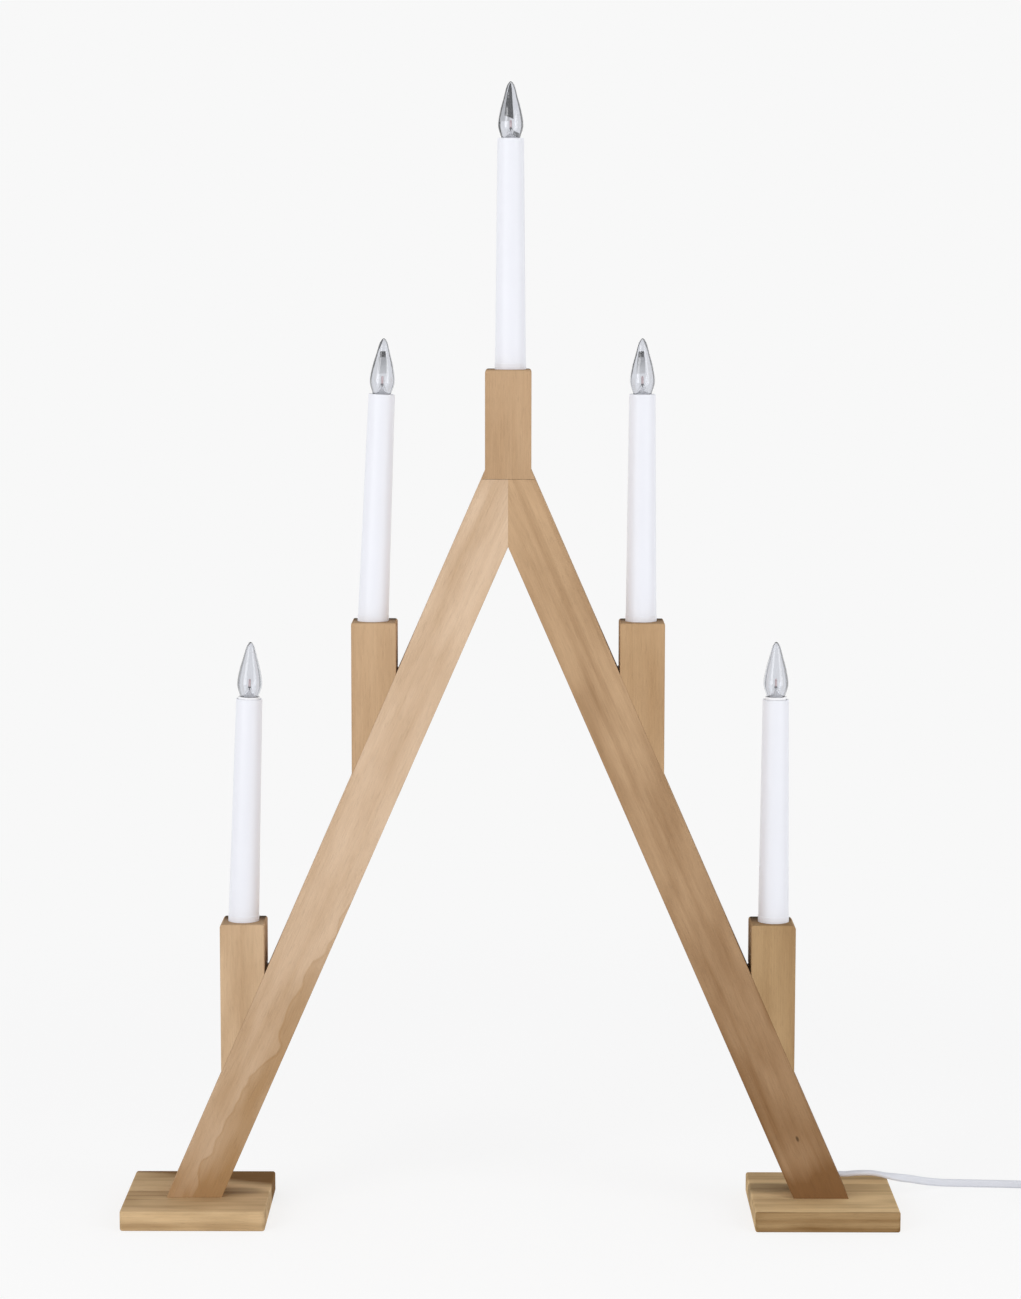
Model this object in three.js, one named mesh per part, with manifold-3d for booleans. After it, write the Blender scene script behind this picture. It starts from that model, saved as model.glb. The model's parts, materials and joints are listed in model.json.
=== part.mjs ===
// Wooden advent candle holder: two mitred legs on flat feet that carry five electric candles.
// Millimetres, +Z up, the front faces -Y. The origin is on the ground, midway between the feet.

import * as THREE from "three";
import { mergeVertices } from "three/addons/utils/BufferGeometryUtils.js";
import Module from "manifold-3d";

const wasm = await Module();
wasm.setup();

// Legs and feet
const legAngle = THREE.MathUtils.degToRad(23.65);
const legWidth = 29;
const legDepth = 27;
const mitreHeight = 38;
const footSpacing = 361;
const footWidth = 82.5;
const footDepth = 83;
const footThickness = 11.5;
const footCornerRadius = 2.6;
const frameShift = -1.5;
const edgeEase = 1.1;
const edgeRadius = 1.6;
const glueLine = 0.3;

// Candle blocks
const topBlockWidth = 26;
const topBlockHeight = 61.2;
const sideBlockWidth = 25.4;
const sideBlockRise = 28.8;
const upperBlockReach = 75.8;
const lowerBlockReach = 151.6;

// Candle tubes and the bores that hold them
const tubeLength = 128.3;
const tubeBaseRadius = 8.85;
const tubeTopRadius = 7.45;
const tubeWall = 1;
const tubeLip = 0.3;
const boreDepth = 20;
const wellRadius = 5;
const wellDepth = 8;
const fitGap = 0.3;

// How each candle stands: off the middle of its block, its lean, and how far its bulb is screwed out
const topCandle = { offset: 1.2, lean: 0, lift: 0 };
const leftUpperCandle = { offset: -0.8, lean: THREE.MathUtils.degToRad(2.4), lift: 0 };
const rightUpperCandle = { offset: -0.4, lean: 0, lift: 0 };
const leftLowerCandle = { offset: 0, lean: THREE.MathUtils.degToRad(1.9), lift: 1.2 };
const rightLowerCandle = { offset: 0.7, lean: 0, lift: 1.6 };

// Bulbs: a clear envelope on a screw cap
const bulbHeight = 31.2;
const bulbRadius = 7.3;
const bellyHeight = 6.6;
const shoulderRadius = 5.4;
const shoulderHeight = 18.7;
const crownRadius = 2.6;
const crownHeight = 28.1;
const neckRadius = 5.2;
const glassWall = 0.8;
const collarRadius = 5.9;
const collarHeight = 1.8;
const skirtLength = 4.2;
const capRadius = 4.7;
const capWall = 0.4;
const capLength = 11.5;
const threadPitch = 1.81;
const threadDepth = 0.4;
const threadTurns = 5;
const tipRadius = 1.6;
const tipLength = 1.4;
const stemHeight = 4;
const ledRadius = 1.9;
const ledHeight = 10;

// Lamp sockets
const shellWall = 0.3;
const socketFloor = 2;
const socketRimDrop = 3.5;

// Grooves and leads at the back
const grooveWidth = 7;
const grooveDepth = 4;
const leadDiameter = 2.6;
const leadGap = 0.6;
const leadBend = 4;

// Foot screws
const footScrewLength = 33;
const footScrewRadius = 2;
const footScrewHeadRadius = 4;
const footScrewHeadHeight = 2.6;
const footScrewPoint = 4;
const footScrewInset = 5;
const footScrewRecess = 1.2;

// Cord clip on the back of the right leg
const clipHeight = 45;
const clipLength = 9;
const clipOverlap = 2;
const clipThickness = 1.6;
const clipScrewRadius = 1.3;
const clipScrewHeadRadius = 2.6;
const clipScrewHeadHeight = 1.6;
const clipScrewLength = 9;

// Flat twin cord, its coil and its tie
const cordWidth = 4.6;
const cordThickness = 2.8;
const cordSteps = 36;
const coilTurns = 9.25;
const coilOuterRadius = 36;
const coilPitch = 3.6;
const coilLayerHeight = 5.2;
const coilStepsPerTurn = 24;
const coilTail = 22;
const coilTailSteps = 4;
const coilTailDropStart = 0.2;
const coilTailDropEnd = 0.9;
const tieThickness = 0.6;
const tieWidth = 5;
const tieCornerRadius = 1.2;
const tieAngle = THREE.MathUtils.degToRad(215);

// The cord's way from the clip over the right foot and along the ground to its coil
const cordRoute = [
  [164.3, 11.1, 45],
  [167.4, 11.2, 38],
  [170.4, 12.6, 31.6],
  [173.4, 15.3, 26.4],
  [178, 17.4, 21.6],
  [185, 18.4, 18.2],
  [194.3, 19.2, 16.8],
  [203.3, 20.8, 16.9],
  [212.2, 22.8, 16.3],
  [222.4, 25.6, 13.7],
  [231, 29.4, 11.4],
  [236.8, 33.4, 9.6],
  [243.8, 38.8, 7],
  [255.2, 45.2, 4.1],
  [268.2, 48.8, 2.7],
  [280.3, 48.9, 2.4],
  [292.1, 48.1, 2.4],
  [304.4, 46.9, 2.4],
  [318, 45.4, 2.5],
  [332, 44.3, 2.9],
  [345.1, 44, 3.2],
];

// Where along X the flat cord turns from lying in its groove to lying flat, and from flat to standing on edge
const cordFlatStart = 168;
const cordFlatEnd = 190;
const cordEdgeStart = 214;
const cordEdgeEnd = 240;

// Plug
const plugLength = 36;
const plugFaceWidth = 35.3;
const plugFaceLength = 18;
const plugGripWidth = 13;
const plugThickness = 13.7;
const plugEase = 1.6;
const reliefLength = 24;
const reliefRadius = 4.6;
const reliefTipRadius = 3.2;
const pinLength = 19;
const pinRadius = 2;
const pinRounding = 0.8;
const pinSpacing = 18.6;

// Segment counts of the round pieces
const tubeSegments = 20;
const glassSegments = 16;
const smallSegments = 12;
const leadSides = 6;
const bendSteps = 3;
const bulbInsideSteps = 5;
const bulbOutsideSteps = 8;
const cordEndPoints = 4;
const coilEndPoints = 3;
const vertexMerge = 1e-4;

// Finishes
const woodColour = 0xc9a77f;
const plasticColour = 0xf1f2f8;
const socketColour = 0xe6e6e4;
const glassColour = 0xdfe3e8;
const brassColour = 0xc8b273;
const nickelColour = 0xc2c2be;
const screwColour = 0xa9a9a4;
const cordColour = 0xe0e3e8;
const ledColour = 0xf0e0d8;

// The frame's lines, worked out from the sizes above
const legSlope = Math.tan(legAngle);
const legHalfSpan = legWidth / 2 / Math.cos(legAngle);
const axisApex = footThickness + footSpacing / 2 / legSlope;
const outerApex = axisApex + legHalfSpan / legSlope;
const innerApex = axisApex - legHalfSpan / legSlope;
const seamHeight = innerApex + mitreHeight;
const topBlockTop = seamHeight + topBlockHeight;
const backFace = legDepth / 2;

// Levels of the bulb's pieces below the rim of its tube, and radii that fit inside each other
const rootRadius = capRadius - threadDepth;
const capBore = rootRadius - capWall;
const skirtRadius = capBore - fitGap;
const skirtBore = skirtRadius - glassWall;
const stemRadius = skirtBore - fitGap;
const capTop = -collarHeight - fitGap;
const capBottom = capTop - capLength;
const tipTop = capBottom - fitGap;
const tipBottom = tipTop - tipLength;
const shellBore = capRadius + fitGap;
const shellRadius = shellBore + shellWall;
const shellBottom = tipBottom - fitGap;
const socketBore = shellRadius + fitGap;
const socketFloorTop = shellBottom - fitGap;
const socketBottom = socketFloorTop - socketFloor;

// Lines of the leads
const leadRadius = leadDiameter / 2;
const leadOffset = (leadDiameter + leadGap) / 2;
const leadY = backFace - grooveDepth + fitGap + leadRadius;
const crossHoleRadius = grooveWidth / 2;
const crossDepth = boreDepth + wellDepth - crossHoleRadius;

function finish(color, roughness, metalness = 0) {
  return new THREE.MeshStandardMaterial({ color, roughness, metalness });
}

function piece(name, geometry, material) {
  const mesh = new THREE.Mesh(geometry, material);
  mesh.name = name;
  return mesh;
}

// A closed solid of a geometry whose vertices are shared by position.
function solidOf(geometry) {
  const bare = geometry.clone();
  bare.deleteAttribute("normal");
  bare.deleteAttribute("uv");
  const merged = mergeVertices(bare, vertexMerge);
  return new wasm.Manifold(new wasm.Mesh({
    numProp: 3,
    vertProperties: new Float32Array(merged.attributes.position.array),
    triVerts: new Uint32Array(merged.index.array),
  }));
}

function geometryOf(solid) {
  const mesh = solid.getMesh();
  const geometry = new THREE.BufferGeometry();
  geometry.setAttribute("position", new THREE.BufferAttribute(new Float32Array(mesh.vertProperties), 3));
  geometry.setIndex(new THREE.BufferAttribute(new Uint32Array(mesh.triVerts), 1));
  geometry.computeVertexNormals();
  return geometry;
}

function cut(geometry, ...tools) {
  let solid = solidOf(geometry);
  for (const tool of tools) {
    solid = solid.subtract(solidOf(tool));
  }
  return geometryOf(solid);
}

function join(geometry, ...others) {
  let solid = solidOf(geometry);
  for (const other of others) {
    solid = solid.add(solidOf(other));
  }
  return geometryOf(solid);
}

function keepInside(geometry, region) {
  return geometryOf(solidOf(geometry).intersect(solidOf(region)));
}

// Box given by its lowest and highest corners.
function boxBetween([lowX, lowY, lowZ], [highX, highY, highZ]) {
  return new THREE.BoxGeometry(highX - lowX, highY - lowY, highZ - lowZ)
    .translate((lowX + highX) / 2, (lowY + highY) / 2, (lowZ + highZ) / 2);
}

// Turned piece about +Z. The profile lists radius and height.
function turned(profile, segments) {
  const points = profile.map(([radius, height]) => new THREE.Vector2(radius, height));
  return new THREE.LatheGeometry(points, segments).rotateX(Math.PI / 2);
}

// Rectangle with round corners, centred on the origin.
function roundedRectangle(width, height, radius) {
  const shape = new THREE.Shape();
  const x = width / 2 - radius;
  const y = height / 2 - radius;
  shape.absarc(x, y, radius, 0, Math.PI / 2);
  shape.absarc(-x, y, radius, Math.PI / 2, Math.PI);
  shape.absarc(-x, -y, radius, Math.PI, Math.PI * 1.5);
  shape.absarc(x, -y, radius, Math.PI * 1.5, Math.PI * 2);
  return shape;
}

// Extrusion whose two ends are eased inside its outline. It stands on z = 0.
function easedExtrusion(outline, height, ease) {
  return new THREE.ExtrudeGeometry(outline, {
    depth: height - 2 * ease,
    curveSegments: 2,
    bevelThickness: ease,
    bevelSize: ease,
    bevelOffset: -ease,
    bevelSegments: 1,
  }).translate(0, 0, ease);
}

// Upright bar of wood with eased edges, its end at the given height.
function woodBar(width, height, length) {
  const outline = roundedRectangle(width, legDepth, edgeRadius);
  return easedExtrusion(outline, length, edgeEase).translate(0, 0, height - length);
}

// Height of the leg's middle line, and of its outer face, at a distance from the centre line.
function axisHeightAt(distance) {
  return axisApex - distance / legSlope;
}

function outerHeightAt(distance) {
  return outerApex - distance / legSlope;
}

// Moves a geometry drawn about the leg's middle line, with its foot end at z = 0, to its place.
function ontoLeg(geometry, side) {
  return geometry
    .rotateY(-side * legAngle)
    .translate(frameShift + side * footSpacing / 2, 0, footThickness);
}

// Groove in the back face from one point to another, each given as X and Z.
function backGroove([fromX, fromZ], [toX, toZ]) {
  const heading = Math.atan2(toZ - fromZ, toX - fromX);
  const radius = grooveWidth / 2;
  const outline = new THREE.Shape();
  outline.absarc(toX, toZ, radius, heading - Math.PI / 2, heading + Math.PI / 2);
  outline.absarc(fromX, fromZ, radius, heading + Math.PI / 2, heading + Math.PI * 1.5);
  return new THREE.ExtrudeGeometry(outline, {
    depth: grooveDepth * 2,
    curveSegments: 3,
    bevelEnabled: false,
  }).rotateX(Math.PI / 2).translate(0, backFace + grooveDepth, 0);
}

// The five candles with their places
function candleOn(name, side, reach, top, stance) {
  return {
    name,
    side,
    lean: stance.lean,
    lift: stance.lift,
    x: frameShift + side * reach + stance.offset,
    top,
  };
}

function sideBlockTop(reach) {
  return outerHeightAt(reach - sideBlockWidth / 2) + sideBlockRise;
}

const candles = {
  top: candleOn("top", 0, 0, topBlockTop, topCandle),
  leftUpper: candleOn("left_upper", -1, upperBlockReach, sideBlockTop(upperBlockReach), leftUpperCandle),
  rightUpper: candleOn("right_upper", 1, upperBlockReach, sideBlockTop(upperBlockReach), rightUpperCandle),
  leftLower: candleOn("left_lower", -1, lowerBlockReach, sideBlockTop(lowerBlockReach), leftLowerCandle),
  rightLower: candleOn("right_lower", 1, lowerBlockReach, sideBlockTop(lowerBlockReach), rightLowerCandle),
};

function candleFrame(candle) {
  return new THREE.Matrix4().makeRotationY(candle.lean).setPosition(candle.x, 0, candle.top);
}

function candlePoint(candle, x, y, z) {
  return new THREE.Vector3(x, y, z).applyMatrix4(candleFrame(candle));
}

// Where the grooves of legs and branches stop short, so that their ends lie inside the groove they meet.
const grooveLap = grooveWidth / 4;

// Middle of the hole that leads the wires from the candle's bore to the back of its block.
function crossPoint(candle) {
  return candlePoint(candle, 0, 0, -crossDepth);
}

// Point of the leg's middle line that lies square across from the candle's cross hole.
function branchPoint(candle) {
  const cross = crossPoint(candle);
  const distance = candle.side * (cross.x - frameShift);
  const across = (cross.z - axisHeightAt(distance)) * Math.sin(legAngle);
  return new THREE.Vector3(
    cross.x - candle.side * across * Math.cos(legAngle),
    leadY,
    cross.z - across * Math.sin(legAngle),
  );
}

// Cutters that the wood and its neighbours share
function candleBore(candle) {
  const radius = tubeBaseRadius + fitGap;
  return turned([
    [0, -boreDepth - wellDepth],
    [wellRadius, -boreDepth - wellDepth],
    [wellRadius, -boreDepth],
    [radius, -boreDepth],
    [radius, boreDepth],
    [0, boreDepth],
  ], tubeSegments).applyMatrix4(candleFrame(candle));
}

function crossHole(candle) {
  const cross = crossPoint(candle);
  return new THREE.CylinderGeometry(crossHoleRadius, crossHoleRadius, legDepth, smallSegments)
    .translate(cross.x, legDepth / 2, cross.z);
}

function branchGroove(candle) {
  const cross = crossPoint(candle);
  const branch = branchPoint(candle);
  return backGroove([cross.x, cross.z], [
    branch.x + candle.side * grooveLap * Math.cos(legAngle),
    branch.z + grooveLap * Math.sin(legAngle),
  ]);
}

function topGroove() {
  const cross = crossPoint(candles.top);
  return backGroove([cross.x, cross.z], [frameShift, axisApex - grooveWidth]);
}

function legGroove(side, bottomHeight) {
  const bottomX = frameShift + side * (axisApex - bottomHeight) * legSlope;
  return backGroove([bottomX, bottomHeight], [frameShift + side * grooveLap, axisHeightAt(grooveLap)]);
}

function footScrewX(side) {
  return frameShift + side * (footSpacing / 2 - footScrewInset);
}

// Clearance for the foot screw: its countersunk head in the foot, its shank on through foot and leg.
function footScrewClearance(side) {
  const headBottom = footScrewRecess - fitGap;
  const head = footScrewHeadRadius + fitGap;
  const shank = footScrewRadius + fitGap;
  return turned([
    [0, -footThickness],
    [head, -footThickness],
    [head, headBottom + fitGap],
    [shank, headBottom + fitGap + footScrewHeadHeight],
    [shank, footScrewRecess + footScrewLength + fitGap],
    [0, footScrewRecess + footScrewLength + fitGap],
  ], smallSegments).translate(footScrewX(side), 0, 0);
}

// Place on the back of the right leg at the clip, turned with the leg
const clipFrame = new THREE.Matrix4()
  .makeRotationY(-legAngle)
  .setPosition(frameShift + (axisApex - clipHeight) * legSlope, backFace, clipHeight);
const clipReach = grooveWidth / 2 + clipOverlap;
const clipScrewX = clipReach + clipScrewHeadRadius;

function clipScrewHole() {
  const radius = clipScrewRadius + fitGap;
  return new THREE.CylinderGeometry(radius, radius, 2 * clipScrewLength, smallSegments)
    .translate(clipScrewX, 0, 0)
    .applyMatrix4(clipFrame);
}

// Wooden pieces
function legGeometry(side) {
  const barLength = (seamHeight - footThickness) / Math.cos(legAngle) + 2 * legWidth;
  const bar = ontoLeg(woodBar(legWidth, barLength - legWidth, barLength), side);
  const mitre = frameShift + side * glueLine / 2;
  const outside = frameShift + side * (footSpacing + legWidth);
  const region = boxBetween(
    [Math.min(mitre, outside), -legDepth, footThickness],
    [Math.max(mitre, outside), legDepth, seamHeight],
  );
  const sideCandles = Object.values(candles).filter((candle) => candle.side === side);
  const lowest = side > 0 ? 0 : branchPoint(candles.leftLower).z - grooveWidth;
  const tools = [footScrewClearance(side), legGroove(side, lowest), topGroove()];
  tools.push(...sideCandles.map(branchGroove));
  if (side > 0) {
    tools.push(clipScrewHole());
  }
  return cut(keepInside(bar, region), ...tools);
}

function topBlockGeometry() {
  const overlap = legWidth;
  const bar = woodBar(topBlockWidth, topBlockTop, topBlockHeight + overlap).translate(frameShift, 0, 0);
  const roofBase = seamHeight - overlap;
  const roofHalf = (outerApex - roofBase) * legSlope;
  const roof = new THREE.Shape([
    new THREE.Vector2(frameShift - roofHalf, roofBase),
    new THREE.Vector2(frameShift + roofHalf, roofBase),
    new THREE.Vector2(frameShift, outerApex),
  ]);
  const flare = easedExtrusion(roof, legDepth, edgeEase)
    .rotateX(Math.PI / 2)
    .translate(0, backFace, 0);
  const region = boxBetween(
    [frameShift - footSpacing, -legDepth, seamHeight + glueLine],
    [frameShift + footSpacing, legDepth, topBlockTop + legDepth],
  );
  const block = keepInside(join(bar, flare), region);
  return cut(block, candleBore(candles.top), crossHole(candles.top), topGroove());
}

function sideBlockGeometry(candle, reach) {
  const side = candle.side;
  const length = candle.top - outerHeightAt(reach + sideBlockWidth / 2) + legWidth;
  const bar = woodBar(sideBlockWidth, candle.top, length).translate(frameShift + side * reach, 0, 0);
  const glueFace = legWidth / 2 + glueLine;
  const legRoom = boxBetween([-footSpacing, -legDepth, -footSpacing], [glueFace, legDepth, 3 * footSpacing]);
  if (side < 0) {
    legRoom.rotateZ(Math.PI);
  }
  return cut(bar, ontoLeg(legRoom, side), candleBore(candle), crossHole(candle), branchGroove(candle));
}

function footGeometry(side) {
  const outline = roundedRectangle(footWidth, footDepth, footCornerRadius);
  const plate = easedExtrusion(outline, footThickness, edgeEase).translate(side * footSpacing / 2, 0, 0);
  return cut(plate, footScrewClearance(side));
}

function footScrewGeometry(side) {
  const top = footScrewRecess + footScrewLength;
  return turned([
    [0, footScrewRecess],
    [footScrewHeadRadius, footScrewRecess],
    [footScrewRadius, footScrewRecess + footScrewHeadHeight],
    [footScrewRadius, top - footScrewPoint],
    [0, top],
  ], smallSegments).translate(footScrewX(side), 0, 0);
}

// Candle and bulb pieces, drawn about the candle's own axis
function tubeInnerRadiusAt(height) {
  const taper = (tubeBaseRadius - tubeTopRadius) / tubeLength;
  return tubeTopRadius + taper * (tubeLength - height) - tubeWall;
}

function tubeGeometry() {
  const bottom = -boreDepth + fitGap;
  return turned([
    [tubeBaseRadius - tubeWall, bottom],
    [tubeBaseRadius, bottom],
    [tubeBaseRadius, 0],
    [tubeTopRadius, tubeLength - tubeLip],
    [tubeTopRadius - tubeLip, tubeLength],
    [tubeTopRadius - tubeWall, tubeLength],
    [tubeBaseRadius - tubeWall, 0],
    [tubeBaseRadius - tubeWall, bottom],
  ], tubeSegments);
}

// Half of the bulb's outline from its neck to its tip, drawn in by a wall.
function bulbOutline(wall, steps) {
  const across = (bulbRadius - wall) / bulbRadius;
  const up = (bulbHeight - wall) / bulbHeight;
  const curve = new THREE.SplineCurve([
    new THREE.Vector2(neckRadius * across, 0),
    new THREE.Vector2(bulbRadius * across, bellyHeight * up),
    new THREE.Vector2(shoulderRadius * across, shoulderHeight * up),
    new THREE.Vector2(crownRadius * across, crownHeight * up),
    new THREE.Vector2(0, bulbHeight * up),
  ]);
  return curve.getPoints(steps).map((point) => [point.x, point.y]);
}

function bulbGlassGeometry() {
  const skirtBottom = -collarHeight - skirtLength;
  return turned([
    ...bulbOutline(glassWall, bulbInsideSteps).reverse(),
    [skirtBore, -collarHeight / 2],
    [skirtBore, skirtBottom],
    [skirtRadius, skirtBottom],
    [skirtRadius, -collarHeight],
    [collarRadius, -collarHeight],
    [collarRadius, -fitGap],
    ...bulbOutline(0, bulbOutsideSteps),
  ], glassSegments);
}

function bulbLedGeometry() {
  return turned([
    [0, -collarHeight - skirtLength],
    [stemRadius, -collarHeight - skirtLength],
    [stemRadius, stemHeight],
    [ledRadius, stemHeight],
    [ledRadius, ledHeight - ledRadius],
    [0, ledHeight],
  ], smallSegments);
}

function bulbCapGeometry() {
  const profile = [[0, capBottom], [capBore, capBottom]];
  for (let turn = 0; turn < threadTurns; turn += 1) {
    const height = capBottom + capWall + (turn + 0.5) * threadPitch;
    profile.push([rootRadius, height], [capRadius, height + threadPitch / 2]);
  }
  profile.push([rootRadius, capTop], [capBore, capTop], [capBore, capBottom + capWall]);
  profile.push([0, capBottom + capWall]);
  return turned(profile, smallSegments);
}

function bulbTipGeometry() {
  return turned([
    [0, tipBottom],
    [tipRadius - fitGap, tipBottom],
    [tipRadius, tipBottom + fitGap],
    [tipRadius, tipTop],
    [0, tipTop],
  ], smallSegments);
}

function socketShellGeometry() {
  return turned([
    [shellBore, shellBottom],
    [shellRadius, shellBottom],
    [shellRadius, -socketRimDrop],
    [shellBore, -socketRimDrop],
    [shellBore, shellBottom],
  ], smallSegments);
}

function socketBodyGeometry(lift) {
  const bottomRadius = tubeInnerRadiusAt(tubeLength + lift + socketBottom) - fitGap;
  const rimRadius = tubeInnerRadiusAt(tubeLength + lift - socketRimDrop) - fitGap;
  return turned([
    [0, socketBottom],
    [bottomRadius, socketBottom],
    [rimRadius, -socketRimDrop],
    [socketBore, -socketRimDrop],
    [socketBore, socketFloorTop],
    [0, socketFloorTop],
  ], smallSegments);
}

function candleGroup(candle) {
  const group = new THREE.Group();
  group.position.set(candle.x, 0, candle.top);
  group.rotation.y = candle.lean;
  const lamp = new THREE.Group();
  lamp.position.z = tubeLength + candle.lift;
  group.add(piece(`${candle.name}_candle_tube`, tubeGeometry(), finish(plasticColour, 0.35)));
  group.add(lamp);
  lamp.add(piece(`${candle.name}_socket_body`, socketBodyGeometry(candle.lift), finish(socketColour, 0.5)));
  lamp.add(piece(`${candle.name}_socket_shell`, socketShellGeometry(), finish(brassColour, 0.35, 1)));
  lamp.add(piece(`${candle.name}_bulb_cap`, bulbCapGeometry(), finish(nickelColour, 0.3, 1)));
  lamp.add(piece(`${candle.name}_bulb_tip`, bulbTipGeometry(), finish(nickelColour, 0.4, 1)));
  lamp.add(piece(`${candle.name}_bulb_glass`, bulbGlassGeometry(), finish(glassColour, 0.08)));
  lamp.add(piece(`${candle.name}_bulb_led`, bulbLedGeometry(), finish(ledColour, 0.3)));
  return group;
}

// A path through given points. The section's wide side follows a chosen direction at each point.
class SweptPath extends THREE.Curve {
  constructor(points, wideDirectionAt) {
    super();
    this.points = points;
    this.wideDirectionAt = wideDirectionAt;
  }

  getSpacedPoints() {
    return this.points;
  }

  computeFrenetFrames() {
    const last = this.points.length - 1;
    const tangents = this.points.map((_, index) => new THREE.Vector3().subVectors(
      this.points[Math.min(index + 1, last)],
      this.points[Math.max(index - 1, 0)],
    ).normalize());
    const normals = [];
    const binormals = [];
    for (let index = 0; index <= last; index += 1) {
      const wide = this.wideDirectionAt(index, normals[index - 1]).clone();
      wide.addScaledVector(tangents[index], -wide.dot(tangents[index])).normalize();
      normals.push(wide);
      binormals.push(new THREE.Vector3().crossVectors(tangents[index], wide));
    }
    return { tangents, normals, binormals };
  }
}

function swept(section, path) {
  return new THREE.ExtrudeGeometry(section, { steps: path.points.length - 1, extrudePath: path });
}

function roundSection(radius, sides) {
  const points = [];
  for (let index = 0; index < sides; index += 1) {
    const angle = index / sides * Math.PI * 2;
    points.push(new THREE.Vector2(radius * Math.cos(angle), radius * Math.sin(angle)));
  }
  return new THREE.Shape(points);
}

// Flat cord's section: two half circles with their points, and flat sides between them.
function flatSection(pointsPerEnd) {
  const points = [];
  const radius = cordThickness / 2;
  for (const end of [1, -1]) {
    for (let index = 0; index < pointsPerEnd; index += 1) {
      const angle = (index / (pointsPerEnd - 1) - 0.5) * Math.PI;
      const x = (cordWidth / 2 - radius) + radius * Math.cos(angle);
      points.push(new THREE.Vector2(end * x, end * radius * Math.sin(angle)));
    }
  }
  return new THREE.Shape(points);
}

// Points of a path of straight runs with its corners rounded.
function roundedRun(corners, bend) {
  const points = [corners[0]];
  for (let index = 1; index < corners.length - 1; index += 1) {
    const corner = corners[index];
    const before = new THREE.Vector3().subVectors(corners[index - 1], corner);
    const after = new THREE.Vector3().subVectors(corners[index + 1], corner);
    const arc = new THREE.QuadraticBezierCurve3(
      corner.clone().addScaledVector(before.normalize(), bend),
      corner,
      corner.clone().addScaledVector(after.normalize(), bend),
    );
    points.push(...arc.getPoints(bendSteps));
  }
  points.push(corners[corners.length - 1]);
  return points;
}

// Leads: from a socket down its tube, out through the cross hole and across to the leg's groove.
function sideDrop(candle, uphill) {
  const offset = uphill * leadOffset;
  const start = tubeLength + candle.lift + socketBottom - fitGap;
  const inner = candlePoint(candle, 0, offset, -crossDepth + offset);
  const branch = branchPoint(candle);
  return [
    candlePoint(candle, 0, offset, start),
    inner,
    new THREE.Vector3(inner.x, leadY, inner.z),
    new THREE.Vector3(
      branch.x - candle.side * offset * Math.sin(legAngle),
      leadY,
      branch.z + offset * Math.cos(legAngle),
    ),
  ];
}

function topDrop(side) {
  const offset = side * leadOffset;
  const start = tubeLength + candles.top.lift + socketBottom - fitGap;
  const inner = candlePoint(candles.top, offset, 0, -crossDepth);
  return [
    candlePoint(candles.top, offset, 0, start),
    inner,
    new THREE.Vector3(inner.x, leadY, inner.z),
    new THREE.Vector3(frameShift + offset, leadY, axisHeightAt(leadOffset)),
  ];
}

function leadGeometry(corners) {
  const points = roundedRun(corners, leadBend);
  const path = new SweptPath(points, (index, previous) => previous ?? new THREE.Vector3(1, 1, 0));
  return swept(roundSection(leadRadius, leadSides), path);
}

const feedHeight = clipHeight + fitGap;
const feedStart = new THREE.Vector3(frameShift + (axisApex - feedHeight) * legSlope, leadY, feedHeight);
const leadRuns = {
  feed_lead: [feedStart, ...sideDrop(candles.rightLower, -1).reverse()],
  right_side_lead: [...sideDrop(candles.rightLower, 1), ...sideDrop(candles.rightUpper, -1).reverse()],
  right_top_lead: [...sideDrop(candles.rightUpper, 1), ...topDrop(1).reverse()],
  left_top_lead: [...topDrop(-1), ...sideDrop(candles.leftUpper, 1).reverse()],
  left_side_lead: [...sideDrop(candles.leftUpper, -1), ...sideDrop(candles.leftLower, 1).reverse()],
};

// Clip over the groove and its screw
function clipGeometry() {
  const width = clipReach + clipScrewX + clipReach;
  const outline = roundedRectangle(width, clipLength, edgeRadius);
  const strap = easedExtrusion(outline, clipThickness, fitGap)
    .rotateX(-Math.PI / 2)
    .translate(width / 2 - clipReach, 0, 0)
    .applyMatrix4(clipFrame);
  return cut(strap, clipScrewHole());
}

function clipScrewGeometry() {
  return turned([
    [0, clipThickness - clipScrewLength],
    [clipScrewRadius, clipThickness - clipScrewLength + clipScrewRadius],
    [clipScrewRadius, clipThickness],
    [clipScrewHeadRadius, clipThickness],
    [clipScrewHeadRadius - edgeEase, clipThickness + clipScrewHeadHeight],
    [0, clipThickness + clipScrewHeadHeight],
  ], smallSegments)
    .rotateX(-Math.PI / 2)
    .translate(clipScrewX, 0, 0)
    .applyMatrix4(clipFrame);
}

// Free length of the cord
function cordGeometry() {
  const curve = new THREE.CatmullRomCurve3(cordRoute.map((point) => new THREE.Vector3(...point)));
  const points = curve.getSpacedPoints(cordSteps);
  const acrossGroove = new THREE.Vector3(Math.cos(legAngle), 0, Math.sin(legAngle));
  const acrossGround = new THREE.Vector3(0, 1, 0);
  const upright = new THREE.Vector3(0, 0, 1);
  const path = new SweptPath(points, (index) => {
    const x = points[index].x;
    const flat = THREE.MathUtils.smoothstep(x, cordFlatStart, cordFlatEnd);
    const edge = THREE.MathUtils.smoothstep(x, cordEdgeStart, cordEdgeEnd);
    return acrossGroove.clone().lerp(acrossGround, flat).lerp(upright, edge);
  });
  return { geometry: swept(flatSection(cordEndPoints), path), length: curve.getLength() };
}

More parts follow.
